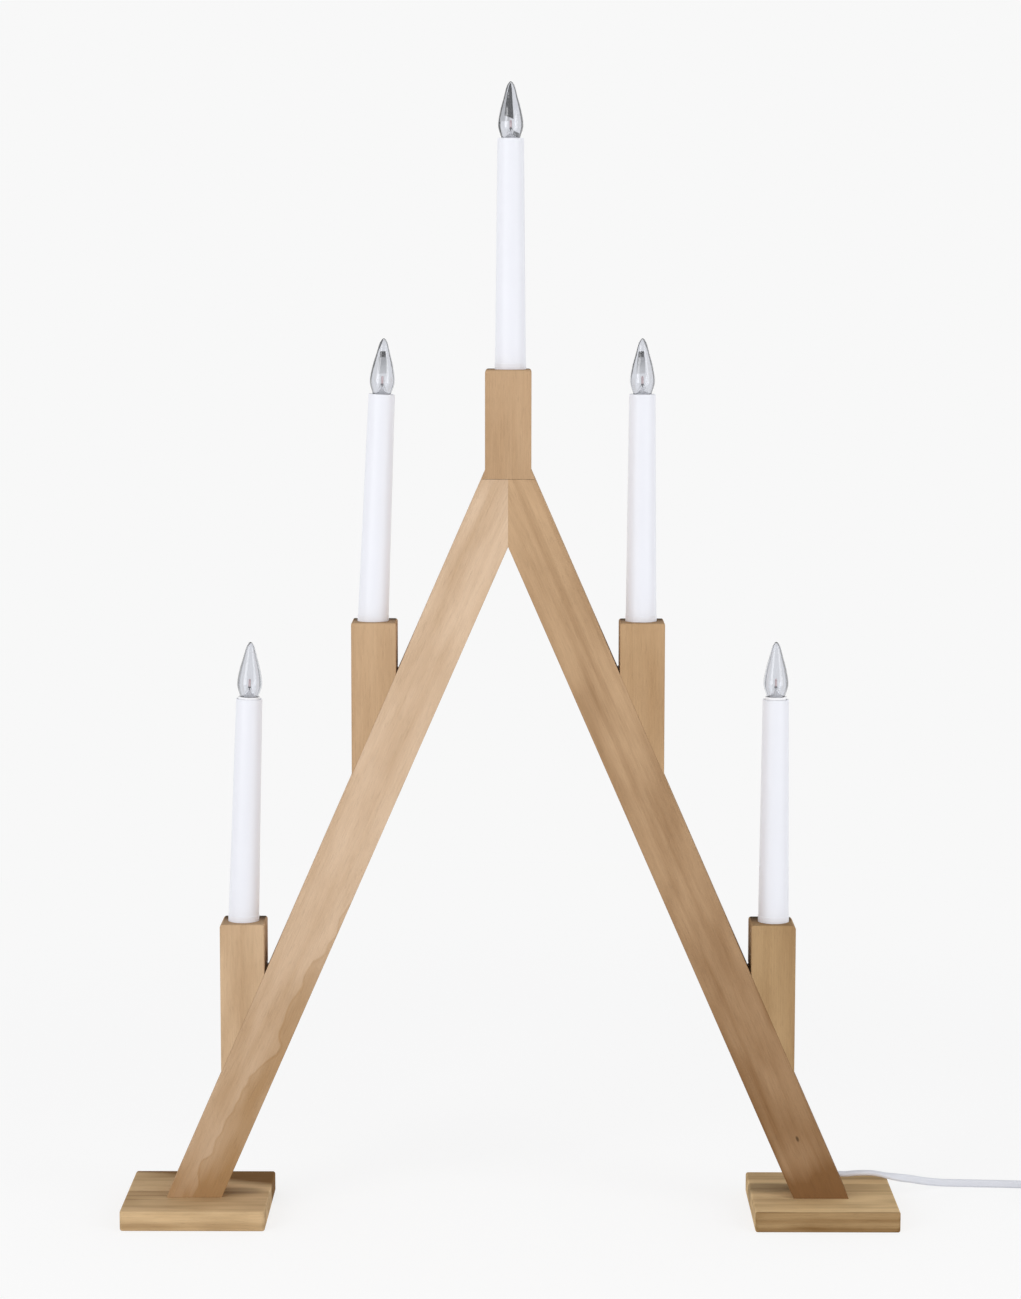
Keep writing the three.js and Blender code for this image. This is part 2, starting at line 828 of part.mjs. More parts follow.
// Coil: it winds inwards in a lower layer, climbs in half a turn and winds outwards in an upper layer.
const cordEnd = new THREE.Vector3(...cordRoute[cordRoute.length - 1]);
const coilStart = cordEnd.clone().add(new THREE.Vector3(fitGap, 0, 0));
const coilCentre = new THREE.Vector3(coilStart.x + cordWidth, coilStart.y - coilOuterRadius, coilStart.z);
const coilSweep = coilTurns * Math.PI * 2;
const coilInnerRadius = coilOuterRadius - coilPitch * coilTurns / 2;
const plugAxisHeight = plugThickness / 2;

function coilPoints() {
  const points = [coilStart];
  const steps = Math.round(coilTurns * coilStepsPerTurn);
  const climbReach = Math.PI / 2;
  for (let step = 0; step <= steps; step += 1) {
    const turned = step / steps * coilSweep;
    const fromMiddle = turned - coilSweep / 2;
    const away = Math.abs(fromMiddle);
    const wound = away > climbReach ? away : (away * away / climbReach + climbReach) / 2;
    const radius = coilInnerRadius + coilPitch * wound / (Math.PI * 2);
    const climb = THREE.MathUtils.smoothstep(fromMiddle, -climbReach, climbReach);
    const angle = Math.PI / 2 - turned;
    points.push(new THREE.Vector3(
      coilCentre.x + radius * Math.cos(angle),
      coilCentre.y + radius * Math.sin(angle),
      coilCentre.z + climb * coilLayerHeight,
    ));
  }
  const leaving = points[points.length - 1];
  for (let step = 1; step <= coilTailSteps; step += 1) {
    const share = step / coilTailSteps;
    const drop = THREE.MathUtils.smoothstep(share, coilTailDropStart, coilTailDropEnd);
    points.push(new THREE.Vector3(
      leaving.x,
      leaving.y - share * coilTail,
      THREE.MathUtils.lerp(leaving.z, plugAxisHeight, drop),
    ));
  }
  return points;
}

function lengthOf(points) {
  return points.slice(1).reduce((sum, point, index) => sum + point.distanceTo(points[index]), 0);
}

// Least gap of the coil to itself. Each point stands for the upright core of the flat cord.
function leastGap(points) {
  const core = cordWidth - cordThickness;
  let least = Infinity;
  for (let first = 0; first < points.length; first += 1) {
    for (let second = first + coilStepsPerTurn / 2; second < points.length; second += 1) {
      const offset = new THREE.Vector3().subVectors(points[second], points[first]);
      offset.z = Math.max(0, Math.abs(offset.z) - core);
      least = Math.min(least, offset.length() - cordThickness);
    }
  }
  return least;
}

function coilGeometry(points) {
  const path = new SweptPath(points, () => new THREE.Vector3(0, 0, 1));
  return swept(flatSection(coilEndPoints), path);
}

// Band around the coil's turns, lying on the ground under them
function tieGeometry() {
  const inner = coilInnerRadius - cordThickness / 2;
  const outer = coilOuterRadius + cordThickness / 2 + fitGap;
  const low = coilCentre.z - cordWidth / 2 - fitGap;
  const high = coilCentre.z + coilLayerHeight + cordWidth / 2 + fitGap;
  const width = outer - inner;
  const height = high - low;
  const band = roundedRectangle(width + 2 * tieThickness, height + 2 * tieThickness, tieCornerRadius);
  band.holes.push(roundedRectangle(width, height, tieCornerRadius - tieThickness));
  return new THREE.ExtrudeGeometry(band, { depth: tieWidth, curveSegments: 2, bevelEnabled: false })
    .translate(0, 0, -tieWidth / 2)
    .rotateX(Math.PI / 2)
    .translate((inner + outer) / 2, 0, (low + high) / 2)
    .rotateZ(tieAngle)
    .translate(coilCentre.x, coilCentre.y, 0);
}

// Plug, drawn along +X from the tip of its strain relief and turned to follow the coil's tail
function plugPlace(geometry) {
  return geometry
    .rotateZ(-Math.PI / 2)
    .translate(coilCentre.x + coilOuterRadius, coilCentre.y - coilTail - fitGap, plugAxisHeight);
}

function plugBodyGeometry() {
  const face = reliefLength + plugLength;
  const shoulder = face - plugFaceLength;
  const swell = (shoulder + reliefLength) / 2;
  const outline = new THREE.Shape();
  outline.moveTo(face, -plugFaceWidth / 2);
  outline.lineTo(face, plugFaceWidth / 2);
  outline.lineTo(shoulder, plugFaceWidth / 2);
  outline.bezierCurveTo(swell, plugFaceWidth / 2, swell, plugGripWidth / 2, reliefLength, plugGripWidth / 2);
  outline.lineTo(reliefLength, -plugGripWidth / 2);
  outline.bezierCurveTo(swell, -plugGripWidth / 2, swell, -plugFaceWidth / 2, shoulder, -plugFaceWidth / 2);
  const body = easedExtrusion(outline, plugThickness, plugEase).translate(0, 0, -plugThickness / 2);
  const relief = turned([
    [0, 0],
    [reliefTipRadius, 0],
    [reliefRadius, reliefLength],
    [reliefRadius, reliefLength + plugEase * 2],
    [0, reliefLength + plugEase * 2],
  ], smallSegments).rotateY(Math.PI / 2);
  return plugPlace(join(body, relief));
}

function plugPinGeometry(side) {
  return plugPlace(turned([
    [0, 0],
    [pinRadius, 0],
    [pinRadius, pinLength - pinRounding],
    [pinRadius - pinRounding, pinLength],
    [0, pinLength],
  ], smallSegments)
    .rotateY(Math.PI / 2)
    .translate(reliefLength + plugLength + fitGap, side * pinSpacing / 2, 0));
}

// The whole holder
const holder = new THREE.Group();
const wood = () => finish(woodColour, 0.6);

for (const [name, side] of [["left", -1], ["right", 1]]) {
  holder.add(piece(`${name}_leg`, legGeometry(side), wood()));
  holder.add(piece(`${name}_foot`, footGeometry(side), wood()));
  holder.add(piece(`${name}_foot_screw`, footScrewGeometry(side), finish(screwColour, 0.35, 1)));
}

holder.add(piece("top_block", topBlockGeometry(), wood()));
holder.add(piece("left_upper_block", sideBlockGeometry(candles.leftUpper, upperBlockReach), wood()));
holder.add(piece("right_upper_block", sideBlockGeometry(candles.rightUpper, upperBlockReach), wood()));
holder.add(piece("left_lower_block", sideBlockGeometry(candles.leftLower, lowerBlockReach), wood()));
holder.add(piece("right_lower_block", sideBlockGeometry(candles.rightLower, lowerBlockReach), wood()));

for (const candle of Object.values(candles)) {
  holder.add(candleGroup(candle));
}

for (const [name, corners] of Object.entries(leadRuns)) {
  holder.add(piece(name, leadGeometry(corners), finish(cordColour, 0.5)));
}

holder.add(piece("cord_clip", clipGeometry(), finish(plasticColour, 0.4)));
holder.add(piece("clip_screw", clipScrewGeometry(), finish(screwColour, 0.35, 1)));

const cord = cordGeometry();
const coil = coilPoints();
holder.add(piece("power_cord", cord.geometry, finish(cordColour, 0.5)));
holder.add(piece("cord_coil", coilGeometry(coil), finish(cordColour, 0.5)));
holder.add(piece("cord_tie", tieGeometry(), finish(cordColour, 0.5)));
holder.add(piece("plug_body", plugBodyGeometry(), finish(plasticColour, 0.4)));
holder.add(piece("plug_pin_left", plugPinGeometry(-1), finish(nickelColour, 0.3, 1)));
holder.add(piece("plug_pin_right", plugPinGeometry(1), finish(nickelColour, 0.3, 1)));

console.log(`cord length ${(cord.length + lengthOf(coil)).toFixed(0)} mm`);
console.log(`least gap of the coil to itself ${leastGap(coil).toFixed(2)} mm`);

export default holder;
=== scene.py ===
# Wooden advent candle holder with five electric candles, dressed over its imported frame.
# Metres, +Z up, the front faces -Y. The origin is on the ground, midway between the feet.

import json
import math

import bmesh
import bpy
from mathutils import Matrix, Vector


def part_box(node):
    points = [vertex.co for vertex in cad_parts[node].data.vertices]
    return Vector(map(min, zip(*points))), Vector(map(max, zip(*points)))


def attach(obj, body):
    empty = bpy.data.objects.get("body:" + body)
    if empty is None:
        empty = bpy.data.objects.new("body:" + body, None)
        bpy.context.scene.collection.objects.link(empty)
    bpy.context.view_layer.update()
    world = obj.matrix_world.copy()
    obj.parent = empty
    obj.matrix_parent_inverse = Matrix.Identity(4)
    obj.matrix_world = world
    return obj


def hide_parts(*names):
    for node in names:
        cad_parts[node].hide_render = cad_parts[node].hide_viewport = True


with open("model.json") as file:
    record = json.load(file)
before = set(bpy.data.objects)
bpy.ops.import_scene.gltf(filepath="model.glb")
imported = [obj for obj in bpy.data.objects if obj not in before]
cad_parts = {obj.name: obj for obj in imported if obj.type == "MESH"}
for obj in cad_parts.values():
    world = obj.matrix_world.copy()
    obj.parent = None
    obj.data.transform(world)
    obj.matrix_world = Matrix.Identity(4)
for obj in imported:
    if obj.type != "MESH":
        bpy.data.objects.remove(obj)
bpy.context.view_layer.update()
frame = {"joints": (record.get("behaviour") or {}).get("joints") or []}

MM = 0.001
TURN = 2 * math.pi
RIGHT = Vector((1, 0, 0))
BACK = Vector((0, 1, 0))
UP = Vector((0, 0, 1))

# Own spaces of pieces: as the object stands, with Z to the front or to the back, and with Z along X
IN_PLACE = Matrix.Identity(4)
FRONT_VIEW = Matrix.Rotation(TURN / 4, 4, "X")
BACK_VIEW = Matrix.Rotation(-TURN / 4, 4, "X")
ALONG_X = Matrix.Rotation(TURN / 4, 4, "Y")

# Camera, fitted to the lines of the frame in the photograph
CAMERA_PLACE = Vector((6.2, -1790.9, 542.5)) * MM
CAMERA_TILT = math.radians(6.83)
CAMERA_YAW = math.radians(0.203)
CAMERA_ROLL = math.radians(0.056)
CAMERA_LENS = 88.0
CAMERA_NEAR = 0.01
CAMERA_FAR = 50

# Legs, blocks and feet. Softness is a share of the edge radius
LEG_ANGLE = math.radians(23.65)
LEG_WIDTH = 29 * MM
TOP_BLOCK_WIDTH = 26 * MM
GLUE_LINE = 0.3 * MM
EDGE_RADIUS = 1.6 * MM
EDGE_STEPS = 4
SEAM_SOFTNESS = 0.06
LEG_SOFTNESS = 0.2
BLOCK_SOFTNESS = 0.5
END_SOFTNESS = 0.8
RIM_SOFTNESS = 1
OUTER_CORNER_SOFTNESS = {
    "left_upper_block": 0.6,
    "right_upper_block": 0.7,
    "left_lower_block": 1.2,
    "right_lower_block": 1.8,
}
OUTER_SIDE_SHARE = 0.6
FOOT_SOFTNESS = 0.7
FOOT_CORNER_SOFTNESS = 1.6

# Sides of round pieces, from the widest to the finest, and steps of their rounded ends
WIDE_SIDES = 96
BORE_SIDES = 72
SOCKET_SIDES = 64
CAP_SIDES = 48
SLIM_SIDES = 40
THIN_SIDES = 32
LEAD_SIDES = 20
WIRE_SIDES = 10
GROOVE_END_STEPS = 10
DOME_STEPS = 8
LIP_STEPS = 4

# Candle tubes, their bores and the grooves at the back
TUBE_LENGTH = 128.3 * MM
TUBE_BASE_RADIUS = 8.85 * MM
TUBE_TOP_RADIUS = 7.45 * MM
TUBE_WALL = 1 * MM
TUBE_LIP = 0.35 * MM
TUBE_COLLAR_HEIGHT = 3.4 * MM
TUBE_COLLAR_STEP = 0.12 * MM
BORE_DEPTH = 20 * MM
WELL_RADIUS = 5 * MM
WELL_DEPTH = 8 * MM
FIT_GAP = 0.3 * MM
GROOVE_WIDTH = 7 * MM
GROOVE_DEPTH = 4 * MM
GROOVE_LAP = GROOVE_WIDTH / 4
LEAD_DIAMETER = 2.6 * MM
LEAD_GAP = 0.6 * MM
LEAD_BEND = 4 * MM

# Bulbs and their sockets. The bulb's outline gives radius and height in millimetres
BULB_OUTLINE = [(5.2, 0), (7.1, 6.9), (5.95, 15.1), (4, 22.2), (1.9, 29.4), (0, 31.2)]
BULB_HEIGHT = 31.2 * MM
BULB_STEPS = 12
GLASS_WALL = 0.8 * MM
COLLAR_RADIUS = 6.2 * MM
COLLAR_HEIGHT = 1.8 * MM
COLLAR_EASE = 0.35 * MM
SKIRT_LENGTH = 4.2 * MM
CAP_RADIUS = 4.7 * MM
CAP_WALL = 0.4 * MM
CAP_LENGTH = 11.5 * MM
THREAD_PITCH = 1.81 * MM
THREAD_DEPTH = 0.4 * MM
THREAD_ROWS_PER_TURN = 10
TIP_RADIUS = 1.6 * MM
TIP_LENGTH = 1.4 * MM
STEM_HEIGHT = 4 * MM
STEM_POST_RADIUS = 0.8 * MM
STEM_POST_BOTTOM = 0.75 * STEM_HEIGHT
STEM_SHOULDER_SHARE = 0.55
STEM_SHOULDER_HEIGHT = 0.3 * STEM_HEIGHT
EMITTER_RADIUS = 0.65 * MM
EMITTER_BOTTOM = 5.6 * MM
EMITTER_TOP = 10 * MM
EMITTER_BEAD_RADIUS = 0.8 * MM
EMITTER_BEAD_RISE = TURN / 12
WIRE_RADIUS = 0.12 * MM
WIRE_SPREAD = 2.6 * MM
WIRE_BEND_HEIGHT = 0.4 * STEM_HEIGHT
SHELL_WALL = 0.3 * MM
SOCKET_FLOOR = 2 * MM
SOCKET_RIM_DROP = 3.5 * MM
SOCKET_EASE = 0.2 * MM

# Screws and clip. A recess is the cross in a screw's head
FOOT_SCREW_LENGTH = 33 * MM
FOOT_SCREW_RADIUS = 2 * MM
FOOT_SCREW_HEAD = 4 * MM
FOOT_SCREW_HEAD_HEIGHT = 2.6 * MM
FOOT_SCREW_EASE = 0.2 * MM
FOOT_SCREW_POINT = 4 * MM
FOOT_SCREW_INSET = 5 * MM
FOOT_SCREW_SUNK = 1.2 * MM
FOOT_SCREW_PITCH = 1.6 * MM
FOOT_SCREW_THREAD = 0.35 * MM
FOOT_RECESS_DEPTH = 1.4 * MM
FOOT_RECESS_REACH = 2.3 * MM
CLIP_HEIGHT = 45 * MM
CLIP_LENGTH = 9 * MM
CLIP_OVERLAP = 2 * MM
CLIP_THICKNESS = 1.6 * MM
CLIP_EASE = 0.3 * MM
CLIP_SCREW_RADIUS = 1.3 * MM
CLIP_SCREW_HEAD = 2.6 * MM
CLIP_SCREW_HEAD_HEIGHT = 1.6 * MM
CLIP_SCREW_DOME = 0.9 * TURN / 4
CLIP_SCREW_DOME_STEPS = 9
CLIP_SCREW_LENGTH = 9 * MM
CLIP_SCREW_POINT = 1.3 * MM
CLIP_SCREW_PITCH = 1.0 * MM
CLIP_SCREW_THREAD = 0.25 * MM
CLIP_RECESS_FLOOR = 0.4 * MM
CLIP_RECESS_REACH = 1.5 * MM
SCREW_END_RADIUS = 0.35 * MM
SCREW_END_LENGTH = 0.2 * MM
CROSS_WIDTH = 0.9 * MM

# Flat twin cord and its coil
CORD_WIDTH = 4.6 * MM
CORD_THICKNESS = 2.8 * MM
CORD_WAIST = 0.18 * MM
CORD_STEP = 1.2 * MM
COIL_TURNS = 9.25
COIL_OUTER_RADIUS = 36 * MM
COIL_PITCH = 3.6 * MM
COIL_LAYER = 5.2 * MM
COIL_STEPS_PER_TURN = 56
COIL_TAIL = 22 * MM
COIL_TAIL_STEPS = 18
COIL_TAIL_DROP = (0.2, 0.9)
TIE_THICKNESS = 0.6 * MM
TIE_WIDTH = 5 * MM
TIE_ANGLE = math.radians(215)

# The cord's way from the clip over the right foot and along the ground to its coil, in millimetres
CORD_ROUTE = [
    (164.3, 11.1, 45), (167.4, 11.2, 38), (170.4, 12.6, 31.6), (173.4, 15.3, 26.4), (178, 17.4, 21.6),
    (185, 18.4, 18.2), (194.3, 19.2, 16.8), (203.3, 20.8, 16.9), (212.2, 22.8, 16.3), (222.4, 25.6, 13.7),
    (231, 29.4, 11.4), (236.8, 33.4, 9.6), (243.8, 38.8, 7), (255.2, 45.2, 4.1), (268.2, 48.6, 2.8),
    (280.3, 48.7, 2.5), (292.1, 48, 2.5), (304.4, 46.9, 2.5), (318, 45.4, 2.5), (332, 44.3, 2.9),
    (345.1, 44, 3.2),
]

# Where along X the cord turns from lying in its groove to lying flat, and from flat to standing on edge
CORD_FLAT = (168 * MM, 190 * MM)
CORD_EDGE = (214 * MM, 240 * MM)

# Plug
PLUG_LENGTH = 36 * MM
PLUG_FACE_WIDTH = 35.3 * MM
PLUG_FACE_LENGTH = 18 * MM
PLUG_GRIP_WIDTH = 13 * MM
PLUG_THICKNESS = 13.7 * MM
PLUG_EASE = 2.56 * MM
PLUG_SWELL_STEPS = 10
RELIEF_LENGTH = 24 * MM
RELIEF_RADIUS = 4.6 * MM
RELIEF_TIP_RADIUS = 3.2 * MM
RELIEF_OVERLAP = 3.2 * MM
RELIEF_RIBS = 6
RELIEF_RIB_DEPTH = 0.55 * MM
RELIEF_RIB_STEPS = 8
RELIEF_RIB_EDGE = (0.3, 0.7)
PIN_LENGTH = 19 * MM
PIN_RADIUS = 2 * MM
PIN_ROUNDING = 0.8 * MM
PIN_SPACING = 18.6 * MM
PIN_SLEEVE_LENGTH = 10 * MM
PIN_SLEEVE_WALL = 0.1 * MM

# Lines of the wooden frame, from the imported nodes
left_leg_low, left_leg_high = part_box("left_leg")
left_foot_low, left_foot_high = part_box("left_foot")
right_foot_low, right_foot_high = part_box("right_foot")
LEG_DEPTH = left_leg_high.y - left_leg_low.y
BACK_FACE = left_leg_high.y
SEAM_HEIGHT = left_leg_high.z
FRAME_MIDDLE = left_leg_high.x + GLUE_LINE / 2
FOOT_TOP = left_foot_high.z
FOOT_FRONT = (left_foot_low.y - left_foot_high.y) / 2
LEG_BOTTOM = left_leg_low.z
FOOT_SPACING = right_foot_low.x - left_foot_low.x
LEG_SLOPE = math.tan(LEG_ANGLE)
LEG_HALF_SPAN = LEG_WIDTH / 2 / math.cos(LEG_ANGLE)
AXIS_APEX = FOOT_TOP + FOOT_SPACING / 2 / LEG_SLOPE

# Levels of the bulb's pieces below the rim of its tube, and radii that fit inside each other
SKIRT_BOTTOM = -COLLAR_HEIGHT - SKIRT_LENGTH
CAP_BORE = CAP_RADIUS - THREAD_DEPTH - CAP_WALL
SKIRT_RADIUS = CAP_BORE - FIT_GAP
SKIRT_BORE = SKIRT_RADIUS - GLASS_WALL
STEM_RADIUS = SKIRT_BORE - FIT_GAP
CAP_TOP = -COLLAR_HEIGHT - FIT_GAP
CAP_BOTTOM = CAP_TOP - CAP_LENGTH
TIP_TOP = CAP_BOTTOM - FIT_GAP
TIP_BOTTOM = TIP_TOP - TIP_LENGTH
SHELL_BORE = CAP_RADIUS + FIT_GAP
SHELL_RADIUS = SHELL_BORE + SHELL_WALL
SHELL_BOTTOM = TIP_BOTTOM - FIT_GAP
SOCKET_BORE = SHELL_RADIUS + FIT_GAP
SOCKET_FLOOR_TOP = SHELL_BOTTOM - FIT_GAP
SOCKET_BOTTOM = SOCKET_FLOOR_TOP - SOCKET_FLOOR

# Lines of the leads
LEAD_OFFSET = (LEAD_DIAMETER + LEAD_GAP) / 2
LEAD_Y = BACK_FACE - GROOVE_DEPTH + FIT_GAP + LEAD_DIAMETER / 2
CROSS_HOLE_RADIUS = GROOVE_WIDTH / 2
CROSS_DEPTH = BORE_DEPTH + WELL_DEPTH - CROSS_HOLE_RADIUS


def colour(red, green, blue):
    """Linear colour of an sRGB colour given from 0 to 255."""
    def linear(value):
        share = value / 255
        return share / 12.92 if share <= 0.04045 else ((share + 0.055) / 1.055) ** 2.4
    return (linear(red), linear(green), linear(blue), 1.0)


class Tree:
    """Adds nodes to a node tree and feeds their sockets with values or with other sockets."""

    def __init__(self, tree):
        self.tree = tree

    def add(self, kind, feeds, **settings):
        node = self.tree.nodes.new("ShaderNode" + kind)
        for name, value in settings.items():
            setattr(node, name, value)
        self.feed(node, feeds)
        return node

    def feed(self, node, feeds):
        for socket, value in feeds.items():
            if isinstance(value, bpy.types.NodeSocket):
                self.tree.links.new(value, node.inputs[socket])
            else:
                node.inputs[socket].default_value = value

    def math(self, operation, first, second=0.0):
        return self.add("Math", {0: first, 1: second}, operation=operation).outputs[0]

    def vector(self, operation, first, second):
        return self.add("VectorMath", {0: first, 1: second}, operation=operation).outputs[0]

    def length(self, vector):
        return self.add("VectorMath", {0: vector}, operation="LENGTH").outputs["Value"]

    def part(self, vector, axis):
        return self.add("SeparateXYZ", {0: vector}).outputs[axis]

    def noise(self, place, scale=1.0, detail=2.0):
        return self.add("TexNoise", {"Vector": place, "Scale": scale, "Detail": detail}).outputs["Fac"]

    def between(self, value, low, high, to_low=0.0, to_high=1.0):
        feeds = {"Value": value, "From Min": low, "From Max": high, "To Min": to_low, "To Max": to_high}
        return self.add("MapRange", feeds, interpolation_type="SMOOTHSTEP").outputs[0]

    def mix(self, share, first, second, blend="MIX"):
        node = self.add("Mix", {0: share, 6: first, 7: second}, data_type="RGBA", blend_type=blend)
        return node.outputs[2]

    def shaded(self, tint, light):
        """Colour under an uneven light."""
        level = self.add("CombineColor", {"Red": light, "Green": light, "Blue": light}).outputs[0]
        return self.mix(1.0, tint, level, "MULTIPLY")

    def bump(self, height, distance):
        return self.add("Bump", {"Height": height, "Distance": distance, "Strength": 1.0}).outputs[0]


# Shader node groups

PLACE = (0.0, 0.0, 0.0)
TINT = (1.0, 1.0, 1.0, 1.0)


def surface_group(name, inputs):
    """Empty shader node group that gives a surface its colour, roughness and height, with an input socket for
    each number, vector or colour. Returns its tree, its inputs and its output node."""
    made = bpy.data.node_groups.new(name, "ShaderNodeTree")
    kinds = {1: "NodeSocketFloat", 3: "NodeSocketVector", 4: "NodeSocketColor"}
    outputs = {"Colour": TINT, "Roughness": 0.5, "Height": 0.0}
    for way, sockets in (("INPUT", inputs), ("OUTPUT", outputs)):
        for socket, value in sockets.items():
            parts = len(value) if isinstance(value, tuple) else 1
            made.interface.new_socket(socket, in_out=way, socket_type=kinds[parts])
    return Tree(made), made.nodes.new("NodeGroupInput").outputs, made.nodes.new("NodeGroupOutput")


# Figure of a wooden piece where its own table says nothing else. Shares lead from pale to deep, and shades
# take light away
WOOD_DEFAULTS = {
    "Pale": colour(208, 178, 145),
    "Deep": colour(168, 132, 96),
    "Pith": (0.03, 0.05, 0.0),
    "Grain Tilt": 0.0,
    "Waver": 0.006,
    "Ring Spacing": 0.009,
    "Ring Share": 0.12,
    "Streak Share": 0.15,
    "Heart Tilt": 0.0,
    "Heart Edge": 1.0,
    "Heart Blur": 1.1 * MM,
    "Heart Sway": 0.0,
    "Heart Share": 0.0,
    "Heart Rim": 0.0,
    # Foot Shade and Foot Height darken a leg towards its foot: partly darker stain, partly painted falloff of
    # the light
    "Foot Shade": 0.0,
    "Foot Height": 0.45,
    # The next share paints contact shade at the bottom of a leg, where it meets its foot
    "Contact Shade Share": 0.35,
    "Spot": (1.0, 1.0, 1.0),
    "Spot Radius": 1 * MM,
    "Spot Shade": 0.6,
    "End Shade": 0.85,
    "Fibre Shade": 0.06,
    "Seed": 0.0,
}

# Marks in the wood: waves per metre in X, Y and along the grain, the noise between which they fade in, and
# for the streaks the detail of that noise
WANDER_WAVES = (16, 16, 5)
SLOW_DETAIL = 1.5
RINGS = (0.35, 0.7)
BLOTCHES = ((60, 60, 17), 0.3, 0.7)
STREAKS = ((170, 170, 5), 0.45, 0.72, 3.0)
HEART_SWAYS = ((12, 12, 34), 0.3, 0.7)
FLECKS = ((1100, 1100, 150), 0.5, 0.75)
FIBRES = ((1500, 1500, 50), 0.3, 0.7)
BLOTCH_SHARE = 0.3
FLECK_SHADE = 0.07
WOOD_ROUGHNESS = (0.6, 0.72)
WOOD_SHEEN = 0.03

# The edge of the heartwood frays along the streaks
HEART_FRAY = 0.28

# Dark spots are longer along the grain and have a soft edge: a knot in the right leg, and on each foot a
# painted shadow beside its leaning leg
SPOT_STRETCH = (1, 1, 0.45)
SPOT_EDGE = (1.4, 0.6)

# Faces that look along the grain are cut ends. They take more stain, and they are darker towards the back
CUT_FACING = (0.75, 0.98)
CUT_FRONT_SHARE = 0.2

# Painted contact shade on the darkest part of a leg's foot, up to this height
CONTACT_SHADE_HEIGHT = 30 * MM


def stained_wood_group():
    """Pale straight-grained wood under a thin stain, in a piece's own space with its grain along Z."""
    tree, put, result = surface_group("stained wood", {"Place": PLACE, "Facing": PLACE, **WOOD_DEFAULTS})

    shift = tree.add("CombineXYZ", {"X": put["Seed"], "Y": put["Seed"], "Z": put["Seed"]}).outputs[0]
    place = tree.vector("ADD", put["Place"], shift)

    def figure(waves, low, high, detail=2.0):
        """Marks of one kind, as a mask."""
        return tree.between(tree.noise(tree.vector("MULTIPLY", place, waves), detail=detail), low, high)

    slow_place = tree.vector("MULTIPLY", place, WANDER_WAVES)
    slow = tree.add("TexNoise", {"Vector": slow_place, "Detail": SLOW_DETAIL}).outputs["Color"]
    centred = tree.vector("SUBTRACT", slow, (0.5, 0.5, 0.5))
    wander = tree.add("VectorMath", {0: centred, "Scale": put["Waver"]}, operation="SCALE").outputs[0]
    height = tree.part(put["Place"], "Z")

    def leaning(tilt):
        """Wandering place whose X follows lines at a tilt to the piece."""
        lean = tree.add("CombineXYZ", {"X": tree.math("MULTIPLY", height, tilt)}).outputs[0]
        return tree.vector("SUBTRACT", tree.vector("ADD", put["Place"], wander), lean)

    from_pith = tree.vector("SUBTRACT", leaning(put["Grain Tilt"]), put["Pith"])
    radius = tree.length(tree.vector("MULTIPLY", from_pith, (1, 1, 0)))
    years = tree.math("ADD", tree.math("DIVIDE", radius, put["Ring Spacing"]), put["Seed"])
    ring_feeds = {"W": years, "Scale": 1.0, "Detail": SLOW_DETAIL}
    rings = tree.between(tree.add("TexNoise", ring_feeds, noise_dimensions="1D").outputs["Fac"], *RINGS)

    streaks = figure(*STREAKS)
    sway = tree.math("ADD", figure(*HEART_SWAYS), tree.math("MULTIPLY", streaks, HEART_FRAY))
    swayed = tree.math("MULTIPLY", sway, put["Heart Sway"])
    across = tree.math("ADD", tree.part(leaning(put["Heart Tilt"]), "X"), swayed)
    into_heart = tree.math("DIVIDE", tree.math("SUBTRACT", across, put["Heart Edge"]), put["Heart Blur"])
    heart = tree.between(into_heart, -1.0, 1.0)
    heart_rim = tree.between(tree.math("ABSOLUTE", into_heart), 1.0, 0.0)
    # Painted contact shade in the lowest stretch of a leg, where it meets its foot
    contact_shade = tree.math("MULTIPLY", tree.between(height, CONTACT_SHADE_HEIGHT, 0.0), put["Contact Shade Share"])
    # A leg darkens towards its foot, partly as darker stain and partly as painted falloff of the light
    low = tree.math("ADD", tree.between(height, put["Foot Height"], 0.0), contact_shade)
    cut = tree.between(tree.math("ABSOLUTE", tree.part(put["Facing"], "Z")), *CUT_FACING)
    depth_along = tree.part(put["Place"], "Y")
    behind = tree.between(depth_along, -LEG_DEPTH / 4, LEG_DEPTH / 2, CUT_FRONT_SHARE, 1.0)
    cut_end = tree.math("MULTIPLY", tree.math("MULTIPLY", cut, behind), put["End Shade"])
    depth = tree.math("MULTIPLY", rings, put["Ring Share"])
    for mask, share in (
        (streaks, put["Streak Share"]),
        (figure(*BLOTCHES), BLOTCH_SHARE),
        (heart, put["Heart Share"]),
        (heart_rim, put["Heart Rim"]),
        (low, put["Foot Shade"]),
        (cut_end, 1.0),
    ):
        depth = tree.math("ADD", depth, tree.math("MULTIPLY", mask, share))

    fibres = figure(*FIBRES)
    flecks = figure(*FLECKS)
    # Dark spot: the right leg's knot, and on the feet a painted shadow beside the leg
    from_spot = tree.vector("MULTIPLY", tree.vector("SUBTRACT", put["Place"], put["Spot"]), SPOT_STRETCH)
    spot = tree.between(tree.math("DIVIDE", tree.length(from_spot), put["Spot Radius"]), *SPOT_EDGE)
    light = 1.0
    for mask, shade in (
        (fibres, put["Fibre Shade"]),
        (flecks, FLECK_SHADE),
        (cut_end, 1.0),
        (spot, put["Spot Shade"]),
    ):
        kept = tree.math("SUBTRACT", 1.0, tree.math("MULTIPLY", mask, shade))
        light = tree.math("MULTIPLY", light, kept)
    tree.feed(result, {
        "Colour": tree.shaded(tree.mix(depth, put["Pale"], put["Deep"]), light),
        "Roughness": tree.between(fibres, 0.0, 1.0, *WOOD_ROUGHNESS),
        "Height": tree.math("ADD", fibres, flecks),
    })
    return tree.tree


CLOUD_SCALE = 35.0
GRAIN_ROUGHNESS = 0.12


